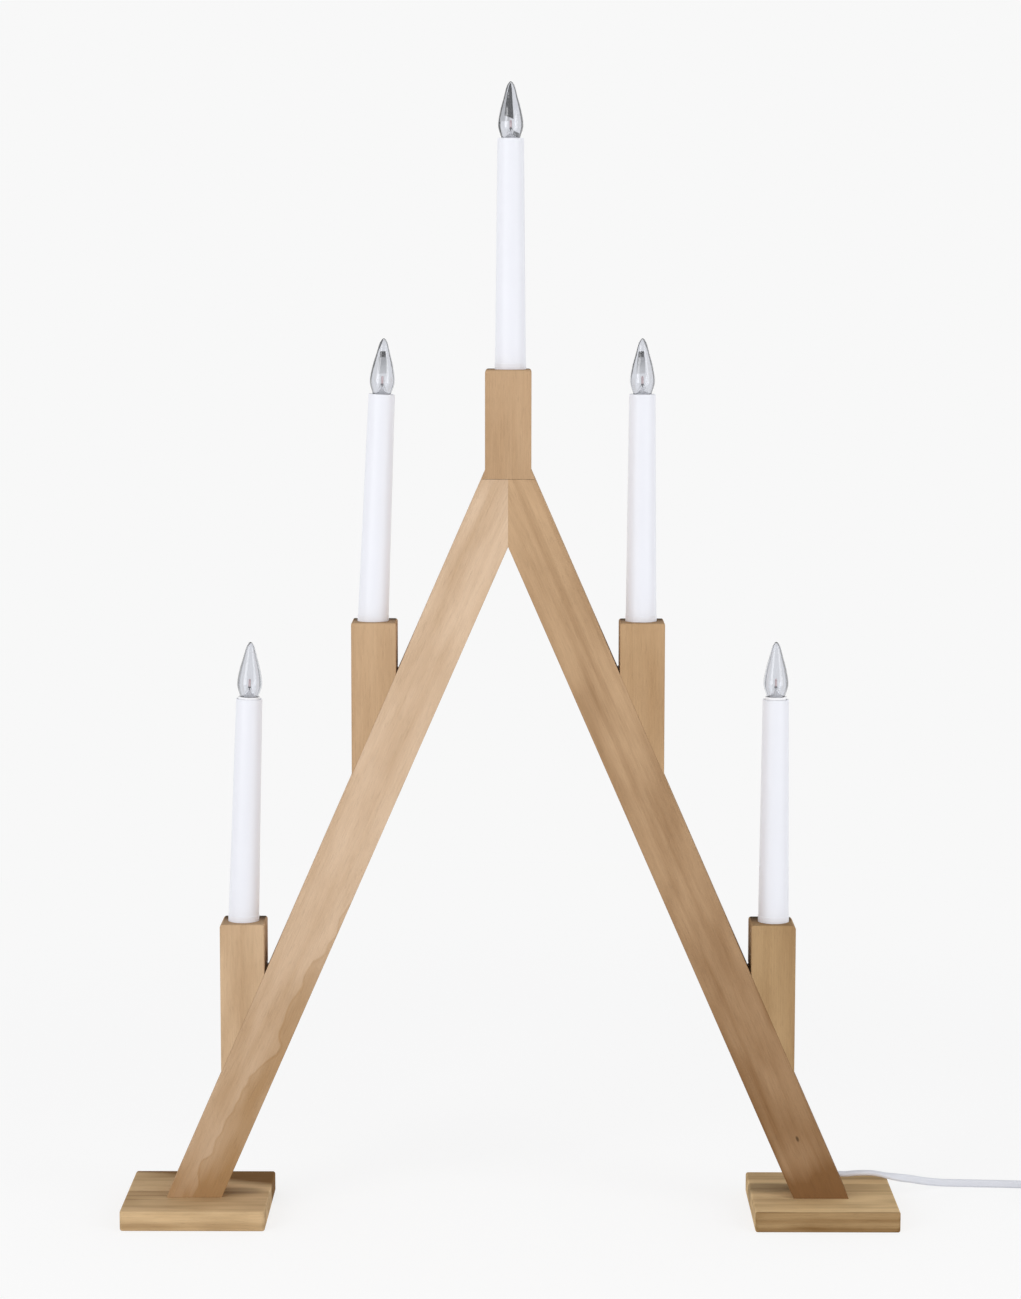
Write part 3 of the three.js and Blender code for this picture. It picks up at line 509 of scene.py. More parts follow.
def moulded_surface_group():
    """Fine unevenness of moulded plastic: slight shade, roughness and height."""
    inputs = {"Place": PLACE, "Colour": TINT, "Base Roughness": 0.5, "Grain Scale": 1.0, "Shade Share": 0.0}
    tree, put, result = surface_group("moulded surface", inputs)
    grain = tree.noise(put["Place"], put["Grain Scale"])
    cloud = tree.math("MULTIPLY", tree.noise(put["Place"], CLOUD_SCALE), put["Shade Share"])
    rough = tree.math("MULTIPLY", grain, GRAIN_ROUGHNESS)
    tree.feed(result, {
        "Colour": tree.shaded(put["Colour"], tree.math("SUBTRACT", 1.0, cloud)),
        "Roughness": tree.math("ADD", put["Base Roughness"], rough),
        "Height": grain,
    })
    return tree.tree


TARNISH_SCALE = 400.0
TARNISH_DETAIL = 3.0
TARNISH_RANGE = (0.4, 0.7)
TARNISH_ROUGHNESS = 0.15
SCRATCH_WAVES = (3000, 3000, 300)


def worn_metal_group():
    """Drawn or plated metal with faint tarnish."""
    inputs = {"Place": PLACE, "Bright": TINT, "Tarnish": TINT, "Base Roughness": 0.5}
    tree, put, result = surface_group("worn metal", inputs)
    cloud = tree.between(tree.noise(put["Place"], TARNISH_SCALE, TARNISH_DETAIL), *TARNISH_RANGE)
    rough = tree.math("MULTIPLY", cloud, TARNISH_ROUGHNESS)
    tree.feed(result, {
        "Colour": tree.mix(cloud, put["Bright"], put["Tarnish"]),
        "Roughness": tree.math("ADD", put["Base Roughness"], rough),
        "Height": tree.noise(tree.vector("MULTIPLY", put["Place"], SCRATCH_WAVES)),
    })
    return tree.tree


stained_wood = stained_wood_group()
moulded_surface = moulded_surface_group()
worn_metal = worn_metal_group()


# Materials

WOOD_RELIEF = 0.06 * MM
PLASTIC_RELIEF = 0.02 * MM
METAL_RELIEF = 0.01 * MM
FLOW_RELIEF = 0.015 * MM

# Grain of moulded plastic, of a cord's sheath and of a woven band: waves per metre and how much they shade
MOULDED_GRAIN = (900.0, 0.03)
SHEATH_GRAIN = (500.0, 0.05)
BAND_GRAIN = (1800.0, 0.1)

# Flow lines in clear plastic
FLOW_WAVES = (260, 260, 60)
FLOW_RANGE = (0.3, 0.8)


def new_material(name):
    """Material with its tree, its principled shader and its texture places."""
    material = bpy.data.materials.new(name)
    material.use_nodes = True
    tree = Tree(material.node_tree)
    return material, tree, tree.tree.nodes["Principled BSDF"], tree.add("TexCoord", {}).outputs


def finish(tree, shader, group, feeds, relief):
    """Feeds the shader with the colour, roughness and relief of a surface group."""
    surface = tree.add("Group", {}, node_tree=group)
    tree.feed(surface, feeds)
    tree.feed(shader, {
        "Base Color": surface.outputs["Colour"],
        "Roughness": surface.outputs["Roughness"],
        "Normal": tree.bump(surface.outputs["Height"], relief),
    })


def wood_material(name, figure):
    material, tree, shader, space = new_material(name)
    feeds = {"Place": space["Object"], "Facing": space["Normal"], **WOOD_DEFAULTS, **figure}
    finish(tree, shader, stained_wood, feeds, WOOD_RELIEF)
    tree.feed(shader, {"Specular IOR Level": WOOD_SHEEN})
    return material


def plastic_material(name, tint, roughness, grain=MOULDED_GRAIN):
    material, tree, shader, space = new_material(name)
    scale, shade = grain
    finish(tree, shader, moulded_surface, {
        "Place": space["Object"],
        "Colour": tint,
        "Base Roughness": roughness,
        "Grain Scale": scale,
        "Shade Share": shade,
    }, PLASTIC_RELIEF)
    return material


def metal_material(name, bright, tarnish, roughness):
    """Metal of linear tones for its bright and its tarnished parts."""
    material, tree, shader, space = new_material(name)
    feeds = {"Place": space["Object"], "Bright": (*bright, 1.0), "Tarnish": (*tarnish, 1.0)}
    finish(tree, shader, worn_metal, {**feeds, "Base Roughness": roughness}, METAL_RELIEF)
    tree.feed(shader, {"Metallic": 1.0})
    return material


def clear_material(name, tint, roughness, ior):
    """Clear moulded envelope, with faint flow lines in its surface."""
    material, tree, shader, space = new_material(name)
    flow = tree.noise(tree.vector("MULTIPLY", space["Object"], FLOW_WAVES), detail=1.0)
    tree.feed(shader, {
        "Base Color": (*tint, 1.0),
        "Roughness": tree.between(flow, *FLOW_RANGE, roughness, roughness * 2),
        "IOR": ior,
        "Transmission Weight": 1.0,
        "Normal": tree.bump(flow, FLOW_RELIEF),
    })
    return material


FOOT_FIGURE = {"Waver": 0.003, "Ring Spacing": 0.0055, "End Shade": 0.1}

WOOD_FIGURES = {
    "left_leg": {
        "Pale": colour(224, 196, 167),
        "Deep": colour(171, 134, 93),
        "Grain Tilt": 0.088,
        "Heart Tilt": 0.11,
        "Heart Edge": -0.5 * MM,
        "Heart Sway": 8 * MM,
        "Heart Share": 0.17,
        "Heart Rim": 0.18,
        # Darker towards the foot: partly stain, partly painted falloff of the light, and painted contact
        # shade at the bottom
        "Foot Shade": 0.44,
        "Foot Height": 0.28,
        "Contact Shade Share": 0.55,
        "Streak Share": 0.14,
        "Fibre Shade": 0.05,
        "Seed": 3.1,
    },
    "right_leg": {
        "Pale": colour(210, 176, 139),
        "Deep": colour(134, 98, 63),
        "Pith": (-0.05, 0.03, 0.0),
        "Grain Tilt": 0.03,
        # Darker towards the foot: partly stain, partly painted falloff of the light, and painted contact
        # shade at the bottom
        "Foot Shade": 0.54,
        "Contact Shade Share": 0.8,
        "Streak Share": 0.2,
        "Spot": (0.0012, -LEG_DEPTH / 2, 0.038),
        "Spot Radius": 0.75 * MM,
        "Seed": 7.7,
    },
    "top_block": {"Pale": colour(201, 168, 133), "Seed": 11.2, "Ring Share": 0.1},
    "left_upper_block": {"Pale": colour(209, 176, 140), "Seed": 14.9},
    "right_upper_block": {"Pale": colour(199, 165, 127), "Deep": colour(160, 124, 86), "Seed": 18.3},
    "left_lower_block": {"Pale": colour(214, 183, 148), "Seed": 21.6},
    "right_lower_block": {"Pale": colour(185, 153, 113), "Deep": colour(148, 114, 76), "Seed": 25.4},
    "left_foot": {
        **FOOT_FIGURE,
        "Pale": colour(226, 194, 150),
        "Deep": colour(128, 93, 52),
        "Pith": (0.012, -0.055, 0.0),
        "Ring Share": 0.26,
        "Streak Share": 0.26,
        # Dark zone at the back right of the top: darker heartwood, widened to also paint the shadow beside
        # the leg
        "Heart Tilt": -0.36,
        "Heart Edge": -FOOT_FRONT - 13 * MM,
        "Heart Blur": 11 * MM,
        "Heart Share": 1.2,
        # Painted shadow on the top, to the right of the leg that leans over it
        "Spot": (0.0, FOOT_TOP / 2, 0.022),
        "Spot Radius": 7 * MM,
        "Spot Shade": 0.35,
        "Seed": 34.2,
    },
    "right_foot": {
        **FOOT_FIGURE,
        "Pale": colour(234, 202, 153),
        "Deep": colour(136, 103, 64),
        "Pith": (-0.02, -0.06, 0.0),
        "Ring Share": 0.2,
        "Streak Share": 0.25,
        "Heart Edge": FOOT_FRONT + 2 * MM,
        "Heart Blur": -1 * MM,
        "Heart Share": 0.65,
        # Painted shadow on the top, to the left of the leg that leans over it
        "Spot": (0.008, FOOT_TOP / 2, -0.03),
        "Spot Radius": 10 * MM,
        "Spot Shade": 0.4,
        "Seed": 38.4,
    },
}

wood_of = {
    name: wood_material(f"stained wood of the {name.replace('_', ' ')}", figure)
    for name, figure in WOOD_FIGURES.items()
}

# Plastics: colour and roughness
candle_white = plastic_material("candle white", colour(240, 241, 247), 0.34)
socket_white = plastic_material("socket white", colour(226, 226, 222), 0.5)
plug_white = plastic_material("plug white", colour(238, 239, 242), 0.38)
cord_white = plastic_material("cord sheath", colour(233, 235, 242), 0.42, SHEATH_GRAIN)
lead_white = plastic_material("lead sheath", colour(222, 224, 228), 0.45, SHEATH_GRAIN)
tie_white = plastic_material("tie band", colour(214, 216, 220), 0.7, BAND_GRAIN)
emitter_rose = plastic_material("emitter", colour(236, 212, 212), 0.3)
bead_grey = plastic_material("emitter bead", colour(132, 128, 132), 0.4)
stem_white = plastic_material("bulb stem", colour(250, 250, 252), 0.4)

# Clear plastic: tint, roughness and index of refraction
bulb_clear = clear_material("clear bulb", (0.83, 0.84, 0.87), 0.02, 1.49)

# Metals: tones where they are bright and where they are tarnished, and roughness
wire_grey = metal_material("support wire", (0.72, 0.72, 0.73), (0.5, 0.5, 0.5), 0.35)
cap_nickel = metal_material("nickel cap", (0.72, 0.71, 0.68), (0.5, 0.48, 0.44), 0.22)
solder = metal_material("solder tip", (0.6, 0.6, 0.6), (0.35, 0.35, 0.36), 0.4)
shell_brass = metal_material("socket brass", (0.78, 0.62, 0.32), (0.5, 0.36, 0.16), 0.28)
screw_steel = metal_material("zinc steel", (0.62, 0.62, 0.6), (0.42, 0.41, 0.38), 0.3)
pin_nickel = metal_material("plug pin nickel", (0.75, 0.74, 0.7), (0.6, 0.58, 0.54), 0.2)


# Mesh helpers

ON_AXIS = 1e-9
SAME_POINT = 1e-7
SETTLED_SHARP = 32
EASED_ANGLE = 40


def put_in_scene(name, data, place):
    made = bpy.data.objects.new(name, data)
    made.matrix_world = place
    bpy.context.scene.collection.objects.link(made)
    return made


def object_from(name, mesh, place, *materials, sharp=None, smooth=True):
    """Object of a bmesh drawn in its own space, put in its place. Edges over the sharp angle stay sharp."""
    bmesh.ops.recalc_face_normals(mesh, faces=mesh.faces)
    data = bpy.data.meshes.new(name)
    mesh.to_mesh(data)
    mesh.free()
    data.polygons.foreach_set("use_smooth", [smooth] * len(data.polygons))
    if sharp:
        data.set_sharp_from_angle(angle=math.radians(sharp))
    for material in materials:
        data.materials.append(material)
    return put_in_scene(name, data, place)


def settle(piece):
    """Applies the piece's modifiers and marks its sharp edges."""
    bpy.context.view_layer.update()
    evaluated = piece.evaluated_get(bpy.context.evaluated_depsgraph_get())
    data = bpy.data.meshes.new_from_object(evaluated)
    piece.modifiers.clear()
    piece.data = data
    data.set_sharp_from_angle(angle=math.radians(SETTLED_SHARP))


def combine(piece, others, operation):
    """Cuts the other solids from the piece, or joins them to it, and removes them."""
    for other in others:
        modifier = piece.modifiers.new("combine", "BOOLEAN")
        modifier.operation = operation
        modifier.solver = "EXACT"
        modifier.object = other
    settle(piece)
    for other in others:
        bpy.data.objects.remove(other)


def even_shading(piece):
    """Keeps flat faces flat beside the rounded edges."""
    piece.modifiers.new("even shading", "WEIGHTED_NORMAL").keep_sharp = True


def ease_edges(piece, radius, segments, angle=EASED_ANGLE):
    """Rounds the edges that turn by more than an angle in degrees."""
    modifier = piece.modifiers.new("eased edges", "BEVEL")
    modifier.width = radius
    modifier.segments = segments
    modifier.limit_method = "ANGLE"
    modifier.angle_limit = math.radians(angle)
    settle(piece)


def stand_in(piece, slot, *nodes, body="root"):
    """The piece rides on a body and takes the place of that body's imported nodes."""
    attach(piece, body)
    if nodes:
        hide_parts(*nodes)
    return piece


def frame_of(origin, up, depth=BACK):
    """Own space with Z along up and Y along depth."""
    z = up.normalized()
    x = depth.cross(z).normalized()
    y = z.cross(x)
    return Matrix.Translation(origin) @ Matrix((x, y, z)).transposed().to_4x4()


def smoothstep(value, low=0.0, high=1.0):
    share = min(1.0, max(0.0, (value - low) / (high - low)))
    return share * share * (3 - 2 * share)


def circle(radius, sides):
    return [(radius * math.cos(TURN * i / sides), radius * math.sin(TURN * i / sides)) for i in range(sides)]


def arc(centre_x, centre_y, radius, start, end, steps):
    angles = [start + (end - start) * index / steps for index in range(steps + 1)]
    return [(centre_x + radius * math.cos(a), centre_y + radius * math.sin(a)) for a in angles]


def rounded_rectangle(width, height, radius, steps=5):
    x = width / 2 - radius
    y = height / 2 - radius
    points = []
    for index, (sign_x, sign_y) in enumerate([(1, 1), (-1, 1), (-1, -1), (1, -1)]):
        start = index * TURN / 4
        points += arc(sign_x * x, sign_y * y, radius, start, start + TURN / 4, steps)
    return points


def bridge(mesh, ring, following, material=0):
    """Faces between two rings of vertices. A ring of one repeated vertex is a point on the axis."""
    for index in range(len(ring)):
        after = (index + 1) % len(ring)
        corners = []
        for vertex in (ring[index], ring[after], following[after], following[index]):
            if vertex not in corners:
                corners.append(vertex)
        if len(corners) > 2:
            mesh.faces.new(corners).material_index = material


def bridge_all(mesh, rings, material_of=lambda index: 0):
    for index, (ring, following) in enumerate(zip(rings, rings[1:])):
        bridge(mesh, ring, following, material_of(index))


def turned_ring(mesh, radius, height, segments):
    """Ring of vertices about Z, or one vertex on the axis, repeated."""
    if radius < ON_AXIS:
        return [mesh.verts.new((0, 0, height))] * segments
    return [mesh.verts.new((x, y, height)) for x, y in circle(radius, segments)]


def lathe(profile, segments, material_of=lambda index: 0):
    """Turned solid about Z. The profile of radius and height ends on the axis or where it started."""
    mesh = bmesh.new()
    bridge_all(mesh, [turned_ring(mesh, *point, segments) for point in profile], material_of)
    bmesh.ops.remove_doubles(mesh, verts=mesh.verts, dist=SAME_POINT)
    return mesh


def threaded(before, after, crest_at, span, depth, pitch, fade, segments):
    """Solid of turned rings with a screw thread between them, from the first height of its span to the last.
    The crest follows crest_at, and the thread fades in at both of its ends."""
    mesh = bmesh.new()
    first, last = span
    rings = [turned_ring(mesh, *point, segments) for point in before]
    rows = round(abs(last - first) / pitch * THREAD_ROWS_PER_TURN)
    for row in range(rows + 1):
        height = first + (last - first) * row / rows
        ease = min(1.0, abs(height - first) / fade, abs(last - height) / fade)
        ring = []
        for index in range(segments):
            angle = TURN * index / segments
            wave = 0.5 + 0.5 * math.cos(TURN * height / pitch - angle)
            radius = crest_at(height) - depth * (1 - wave * ease)
            ring.append(mesh.verts.new((radius * math.cos(angle), radius * math.sin(angle), height)))
        rings.append(ring)
    bridge_all(mesh, rings + [turned_ring(mesh, *point, segments) for point in after])
    return mesh


def prism(outline, low, high):
    """Solid of a flat outline in XY, from one height to another."""
    mesh = bmesh.new()
    bottom = [mesh.verts.new((x, y, low)) for x, y in outline]
    top = [mesh.verts.new((x, y, high)) for x, y in outline]
    mesh.faces.new(bottom[::-1])
    mesh.faces.new(top)
    bridge(mesh, bottom, top)
    return mesh


def through(points, steps_at):
    """Smooth curve through points, with its own number of steps in each span."""
    times = [0.0]
    for first, second in zip(points, points[1:]):
        times.append(times[-1] + (second - first).length)
    slopes = []
    for index in range(len(points)):
        before = max(index - 1, 0)
        after = min(index + 1, len(points) - 1)
        slopes.append((points[after] - points[before]) / (times[after] - times[before]))
    made = [points[0]]
    for index in range(len(points) - 1):
        span = times[index + 1] - times[index]
        steps = steps_at(span)
        for step in range(1, steps + 1):
            t = step / steps
            made.append(
                points[index] * (2 * t ** 3 - 3 * t ** 2 + 1)
                + slopes[index] * span * (t ** 3 - 2 * t ** 2 + t)
                + points[index + 1] * (3 * t ** 2 - 2 * t ** 3)
                + slopes[index + 1] * span * (t ** 3 - t ** 2)
            )
    return made


def rounded_run(corners, bend, steps=8):
    """Points of straight runs with rounded corners."""
    points = [corners[0]]
    for before, corner, after in zip(corners, corners[1:], corners[2:]):
        start = corner + (before - corner).normalized() * bend
        end = corner + (after - corner).normalized() * bend
        for step in range(steps + 1):
            t = step / steps
            points.append(start * (1 - t) ** 2 + corner * 2 * t * (1 - t) + end * t ** 2)
    return [*points, corners[-1]]


def sweep(points, section, wides):
    """Closed tube along points. The section's first axis follows the wide directions of the first points, and
    turns as little as it can where no more of them are given."""
    mesh = bmesh.new()
    rings = []
    for index, point in enumerate(points):
        tangent = (points[min(index + 1, len(points) - 1)] - points[max(index - 1, 0)]).normalized()
        if index < len(wides):
            wide = wides[index]
        wide = (wide - tangent * wide.dot(tangent)).normalized()
        thin = tangent.cross(wide)
        rings.append([mesh.verts.new(point + wide * u + thin * v) for u, v in section])
    bridge_all(mesh, rings)
    mesh.faces.new(rings[0][::-1])
    mesh.faces.new(rings[-1])
    return mesh


# Camera

def make_camera():
    data = bpy.data.cameras.new("camera")
    data.lens = CAMERA_LENS
    data.clip_start = CAMERA_NEAR
    data.clip_end = CAMERA_FAR
    place = (
        Matrix.Translation(CAMERA_PLACE)
        @ Matrix.Rotation(CAMERA_YAW, 4, "Z")
        @ Matrix.Rotation(TURN / 4 - CAMERA_TILT, 4, "X")
        @ Matrix.Rotation(CAMERA_ROLL, 4, "Z")
    )
    bpy.context.scene.camera = put_in_scene("camera", data, place)


make_camera()


# Cord, coil and plug

def coil_points(start):
    """Points of the coil and its tail, its centre and its inner radius. It winds inwards in a lower layer,
    climbs in half a turn and winds outwards in an upper layer."""
    centre = start + Vector((CORD_WIDTH, -COIL_OUTER_RADIUS, 0))
    sweep_angle = COIL_TURNS * TURN
    inner = COIL_OUTER_RADIUS - COIL_PITCH * COIL_TURNS / 2
    steps = round(COIL_TURNS * COIL_STEPS_PER_TURN)
    reach = TURN / 4
    points = []
    for step in range(steps + 1):
        turned = step / steps * sweep_angle
        from_middle = turned - sweep_angle / 2
        away = abs(from_middle)
        wound = away if away > reach else (away * away / reach + reach) / 2
        radius = inner + COIL_PITCH * wound / TURN
        angle = TURN / 4 - turned
        climb = smoothstep(from_middle, -reach, reach) * COIL_LAYER
        points.append(centre + Vector((radius * math.cos(angle), radius * math.sin(angle), climb)))
    leaving = points[-1]
    for step in range(1, COIL_TAIL_STEPS + 1):
        share = step / COIL_TAIL_STEPS
        height = leaving.z + (PLUG_THICKNESS / 2 - leaving.z) * smoothstep(share, *COIL_TAIL_DROP)
        points.append(Vector((leaving.x, leaving.y - share * COIL_TAIL, height)))
    return points, centre, inner


def flat_section():
    """Flat twin cord: two round cores side by side with a shallow waist between them."""
    radius = CORD_THICKNESS / 2
    half = arc(CORD_WIDTH / 2 - radius, 0, radius, -TURN / 4, TURN / 4, DOME_STEPS)
    half.append((0, radius - CORD_WAIST))
    return half + [(-x, -y) for x, y in half]


def make_cord():
    """It lies across its groove, then flat over the foot, and stands on edge along the ground."""
    route = [Vector(point) * MM for point in CORD_ROUTE]
    free = through(route, lambda span: max(2, round(span / CORD_STEP)))
    coil, centre, inner = coil_points(free[-1] + Vector((FIT_GAP, 0, 0)))
    across_groove = Vector((math.cos(LEG_ANGLE), 0, math.sin(LEG_ANGLE)))
    wides = []
    for point in free:
        flat = across_groove.lerp(BACK, smoothstep(point.x, *CORD_FLAT))
        wides.append(flat.lerp(UP, smoothstep(point.x, *CORD_EDGE)))
    line = free + coil
    mesh = sweep(line, flat_section(), wides + [UP] * len(coil))
    piece = object_from("cord", mesh, IN_PLACE, cord_white, sharp=60)
    return stand_in(piece, "cord_sheath", "power_cord", "cord_coil"), line, centre, inner


cord, cord_line, coil_centre, coil_inner = make_cord()


def make_tie():
    """Band around the coil's turns, lying on the ground under them."""
    inner = coil_inner - CORD_THICKNESS / 2
    outer = COIL_OUTER_RADIUS + CORD_THICKNESS / 2 + FIT_GAP
    low = coil_centre.z - CORD_WIDTH / 2 - FIT_GAP
    high = coil_centre.z + COIL_LAYER + CORD_WIDTH / 2 + FIT_GAP
    width = outer - inner
    height = high - low
    hollow = rounded_rectangle(width, height, TIE_THICKNESS)
    skin = rounded_rectangle(width + 2 * TIE_THICKNESS, height + 2 * TIE_THICKNESS, 2 * TIE_THICKNESS)
    mesh = bmesh.new()
    rings = []
    for outline, level in ((skin, -1), (skin, 1), (hollow, 1), (hollow, -1)):
        rings.append([mesh.verts.new((x, y, level * TIE_WIDTH / 2)) for x, y in outline])
    bridge_all(mesh, [*rings, rings[0]])
    place = (
        Matrix.Translation((coil_centre.x, coil_centre.y, 0))
        @ Matrix.Rotation(TIE_ANGLE, 4, "Z")
        @ Matrix.Translation(((inner + outer) / 2, 0, (low + high) / 2))
        @ FRONT_VIEW
    )
    piece = object_from("coil_tie", mesh, place, tie_white)
    ease_edges(piece, TIE_THICKNESS / 3, segments=2)
    return stand_in(piece, "cord_sheath", "cord_tie")


def plug_outline():
    """Flat plug seen from above: a narrow grip that swells to the face with the pins."""
    shoulder = RELIEF_LENGTH + PLUG_LENGTH - PLUG_FACE_LENGTH
    half = PLUG_FACE_WIDTH / 2
    grip = PLUG_GRIP_WIDTH / 2
    side = [(RELIEF_LENGTH + PLUG_LENGTH, half), (shoulder, half)]
    for step in range(1, PLUG_SWELL_STEPS + 1):
        share = step / PLUG_SWELL_STEPS
        swell = 1 - smoothstep(share)
        side.append((shoulder - share * (shoulder - RELIEF_LENGTH), grip + (half - grip) * swell))
    return side + [(x, -y) for x, y in reversed(side)]


def relief_profile():
    """Tapered strain relief with ribs, from its tip to where it enters the plug."""
    points = [(0, 0), (RELIEF_TIP_RADIUS, 0)]
    steps = RELIEF_RIBS * RELIEF_RIB_STEPS
    for step in range(steps + 1):
        share = step / steps
        taper = RELIEF_TIP_RADIUS + (RELIEF_RADIUS - RELIEF_TIP_RADIUS) * share
        rib = 0.5 - 0.5 * math.cos(share * RELIEF_RIBS * TURN)
        points.append((taper - RELIEF_RIB_DEPTH * smoothstep(rib, *RELIEF_RIB_EDGE), share * RELIEF_LENGTH))
    end = RELIEF_LENGTH + RELIEF_OVERLAP
    return points + [(RELIEF_RADIUS, end), (0, end)]


def make_pin(name, side, along):
    """Round pin with a plastic sleeve on its first stretch and a rounded end."""
    place = along @ Matrix.Translation((0, side * PIN_SPACING / 2, RELIEF_LENGTH + PLUG_LENGTH + FIT_GAP))
    bare = PIN_RADIUS - PIN_SLEEVE_WALL
    end = arc(bare - PIN_ROUNDING, PIN_LENGTH - PIN_ROUNDING, PIN_ROUNDING, 0, TURN / 4, LIP_STEPS)
    sleeve = [(0, 0), (PIN_RADIUS, 0), (PIN_RADIUS, PIN_SLEEVE_LENGTH)]
    profile = [*sleeve, (bare, PIN_SLEEVE_LENGTH), *end, (0, PIN_LENGTH)]
    mesh = lathe(profile, THIN_SIDES, lambda index: 1 if index < 2 else 0)
    pin = object_from(f"plug_pin_{name}_metal", mesh, place, pin_nickel, plug_white, sharp=40)
    return stand_in(pin, "plug_metal", f"plug_pin_{name}")


def make_plug():
    half = PLUG_THICKNESS / 2
    end = Vector((coil_centre.x + COIL_OUTER_RADIUS, coil_centre.y - COIL_TAIL - FIT_GAP, half))
    place = Matrix.Translation(end) @ Matrix.Rotation(-TURN / 4, 4, "Z")
    along = place @ ALONG_X
    body = object_from("plug", prism(plug_outline(), -half, half), place, plug_white)
    ease_edges(body, PLUG_EASE, segments=5, angle=50)
    combine(body, [object_from("relief", lathe(relief_profile(), SLIM_SIDES), along, plug_white)], "UNION")
    even_shading(body)
    stand_in(body, "white_plastic", "plug_body")
    return [body, make_pin("left", -1, along), make_pin("right", 1, along)]


tie = make_tie()
plug_pieces = make_plug()


# Lines of the legs and places of the candles

def axis_height(distance):
    """Height of a leg's middle line at a distance from the middle of the frame."""
    return AXIS_APEX - distance / LEG_SLOPE


def leg_x(side, height, across=0):
    """X of a line along a leg, which lies across from the leg's middle line, at a height."""
    return FRAME_MIDDLE + side * ((AXIS_APEX - height) * LEG_SLOPE + across / math.cos(LEG_ANGLE))


def up_leg(side):
    return Vector((-side * math.sin(LEG_ANGLE), 0, math.cos(LEG_ANGLE)))


class Candle:
    """One candle's places, from its packed block and the joint that its bulb turns about."""

    def __init__(self, name, side):
        turn = next(joint for joint in frame["joints"] if joint["name"] == f"{name}_bulb_turn")
        self.name = name
        self.side = side
        self.block = f"{name}_block"
        self.axis = Vector(turn["axis"]).normalized()
        self.block_low, self.block_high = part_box(self.block)
        rim = Vector(turn["pos_m"])
        drop = (rim.z - self.block_high.z) / self.axis.z
        self.lamp_frame = frame_of(rim, self.axis)
        self.base_frame = frame_of(rim - self.axis * drop, self.axis)
        self.lift = drop - TUBE_LENGTH
        self.cross = self.at(0, 0, -CROSS_DEPTH)

    def at(self, x, y, z):
        """Point given from the foot of the candle, in the candle's own space."""
        return self.base_frame @ Vector((x, y, z))

    def branch(self):
        """Point of the leg's middle line that lies square across from the cross hole."""
        distance = self.side * (self.cross.x - FRAME_MIDDLE)
        across = (self.cross.z - axis_height(distance)) * math.sin(LEG_ANGLE)
        x = self.cross.x - self.side * across * math.cos(LEG_ANGLE)
        return Vector((x, LEAD_Y, self.cross.z - across * math.sin(LEG_ANGLE)))

    def add(self, name, mesh, materials, slot, node=None, body=None, sharp=None):
        """Piece of the candle's lamp. It stands in for the candle's node of that name."""
        piece = object_from(f"{self.name}_{name}", mesh, self.lamp_frame, *materials, sharp=sharp)
        nodes = [f"{self.name}_{node}"] if node else []
        return stand_in(piece, slot, *nodes, body=f"{self.name}_{body}" if body else "root")


top = Candle("top", 0)
left_upper = Candle("left_upper", -1)
right_upper = Candle("right_upper", 1)
left_lower = Candle("left_lower", -1)
right_lower = Candle("right_lower", 1)
side_candles = [left_upper, right_upper, left_lower, right_lower]


# Cutters for the wood

def groove_cutter(start, end):
    """Round-ended groove in the back face from one X and Z to another."""
    heading = math.atan2(end[1] - start[1], end[0] - start[0])
    radius = GROOVE_WIDTH / 2
    outline = arc(*end, radius, heading - TURN / 4, heading + TURN / 4, GROOVE_END_STEPS)
    outline += arc(*start, radius, heading + TURN / 4, heading + 3 * TURN / 4, GROOVE_END_STEPS)
    mesh = prism(outline, -BACK_FACE - GROOVE_DEPTH, GROOVE_DEPTH - BACK_FACE)
    return object_from("groove", mesh, FRONT_VIEW)


def branch_cutter(candle):
    branch = candle.branch()
    x = branch.x + candle.side * GROOVE_LAP * math.cos(LEG_ANGLE)
    end = (x, branch.z + GROOVE_LAP * math.sin(LEG_ANGLE))
    return groove_cutter((candle.cross.x, candle.cross.z), end)


def top_cutter():
    return groove_cutter((top.cross.x, top.cross.z), (FRAME_MIDDLE, AXIS_APEX - GROOVE_WIDTH))


def leg_cutter(side, bottom):
    end = (FRAME_MIDDLE + side * GROOVE_LAP, axis_height(GROOVE_LAP))
    return groove_cutter((leg_x(side, bottom), bottom), end)


def bore_cutter(candle):
    radius = TUBE_BASE_RADIUS + FIT_GAP
    bottom = -BORE_DEPTH - WELL_DEPTH
    well = [(0, bottom), (WELL_RADIUS, bottom), (WELL_RADIUS, -BORE_DEPTH)]
    profile = [*well, (radius, -BORE_DEPTH), (radius, BORE_DEPTH), (0, BORE_DEPTH)]
    return object_from("bore", lathe(profile, BORE_SIDES), candle.base_frame)


def cross_cutter(candle):
    place = Matrix.Translation((candle.cross.x, 0, candle.cross.z)) @ BACK_VIEW
    return object_from("cross_hole", prism(circle(CROSS_HOLE_RADIUS, THIN_SIDES), 0, LEG_DEPTH), place)


def foot_screw_place(side):
    return Matrix.Translation((FRAME_MIDDLE + side * (FOOT_SPACING / 2 - FOOT_SCREW_INSET), 0, 0))


def foot_screw_cutter(side):
    head = FOOT_SCREW_HEAD + FIT_GAP
    shank = FOOT_SCREW_RADIUS + FIT_GAP
    end = FOOT_SCREW_SUNK + FOOT_SCREW_LENGTH + FIT_GAP
    wide = [(0, -FOOT_TOP), (head, -FOOT_TOP), (head, FOOT_SCREW_SUNK)]
    profile = [*wide, (shank, FOOT_SCREW_SUNK + FOOT_SCREW_HEAD_HEIGHT), (shank, end), (0, end)]
    return object_from("screw_hole", lathe(profile, SLIM_SIDES), foot_screw_place(side))


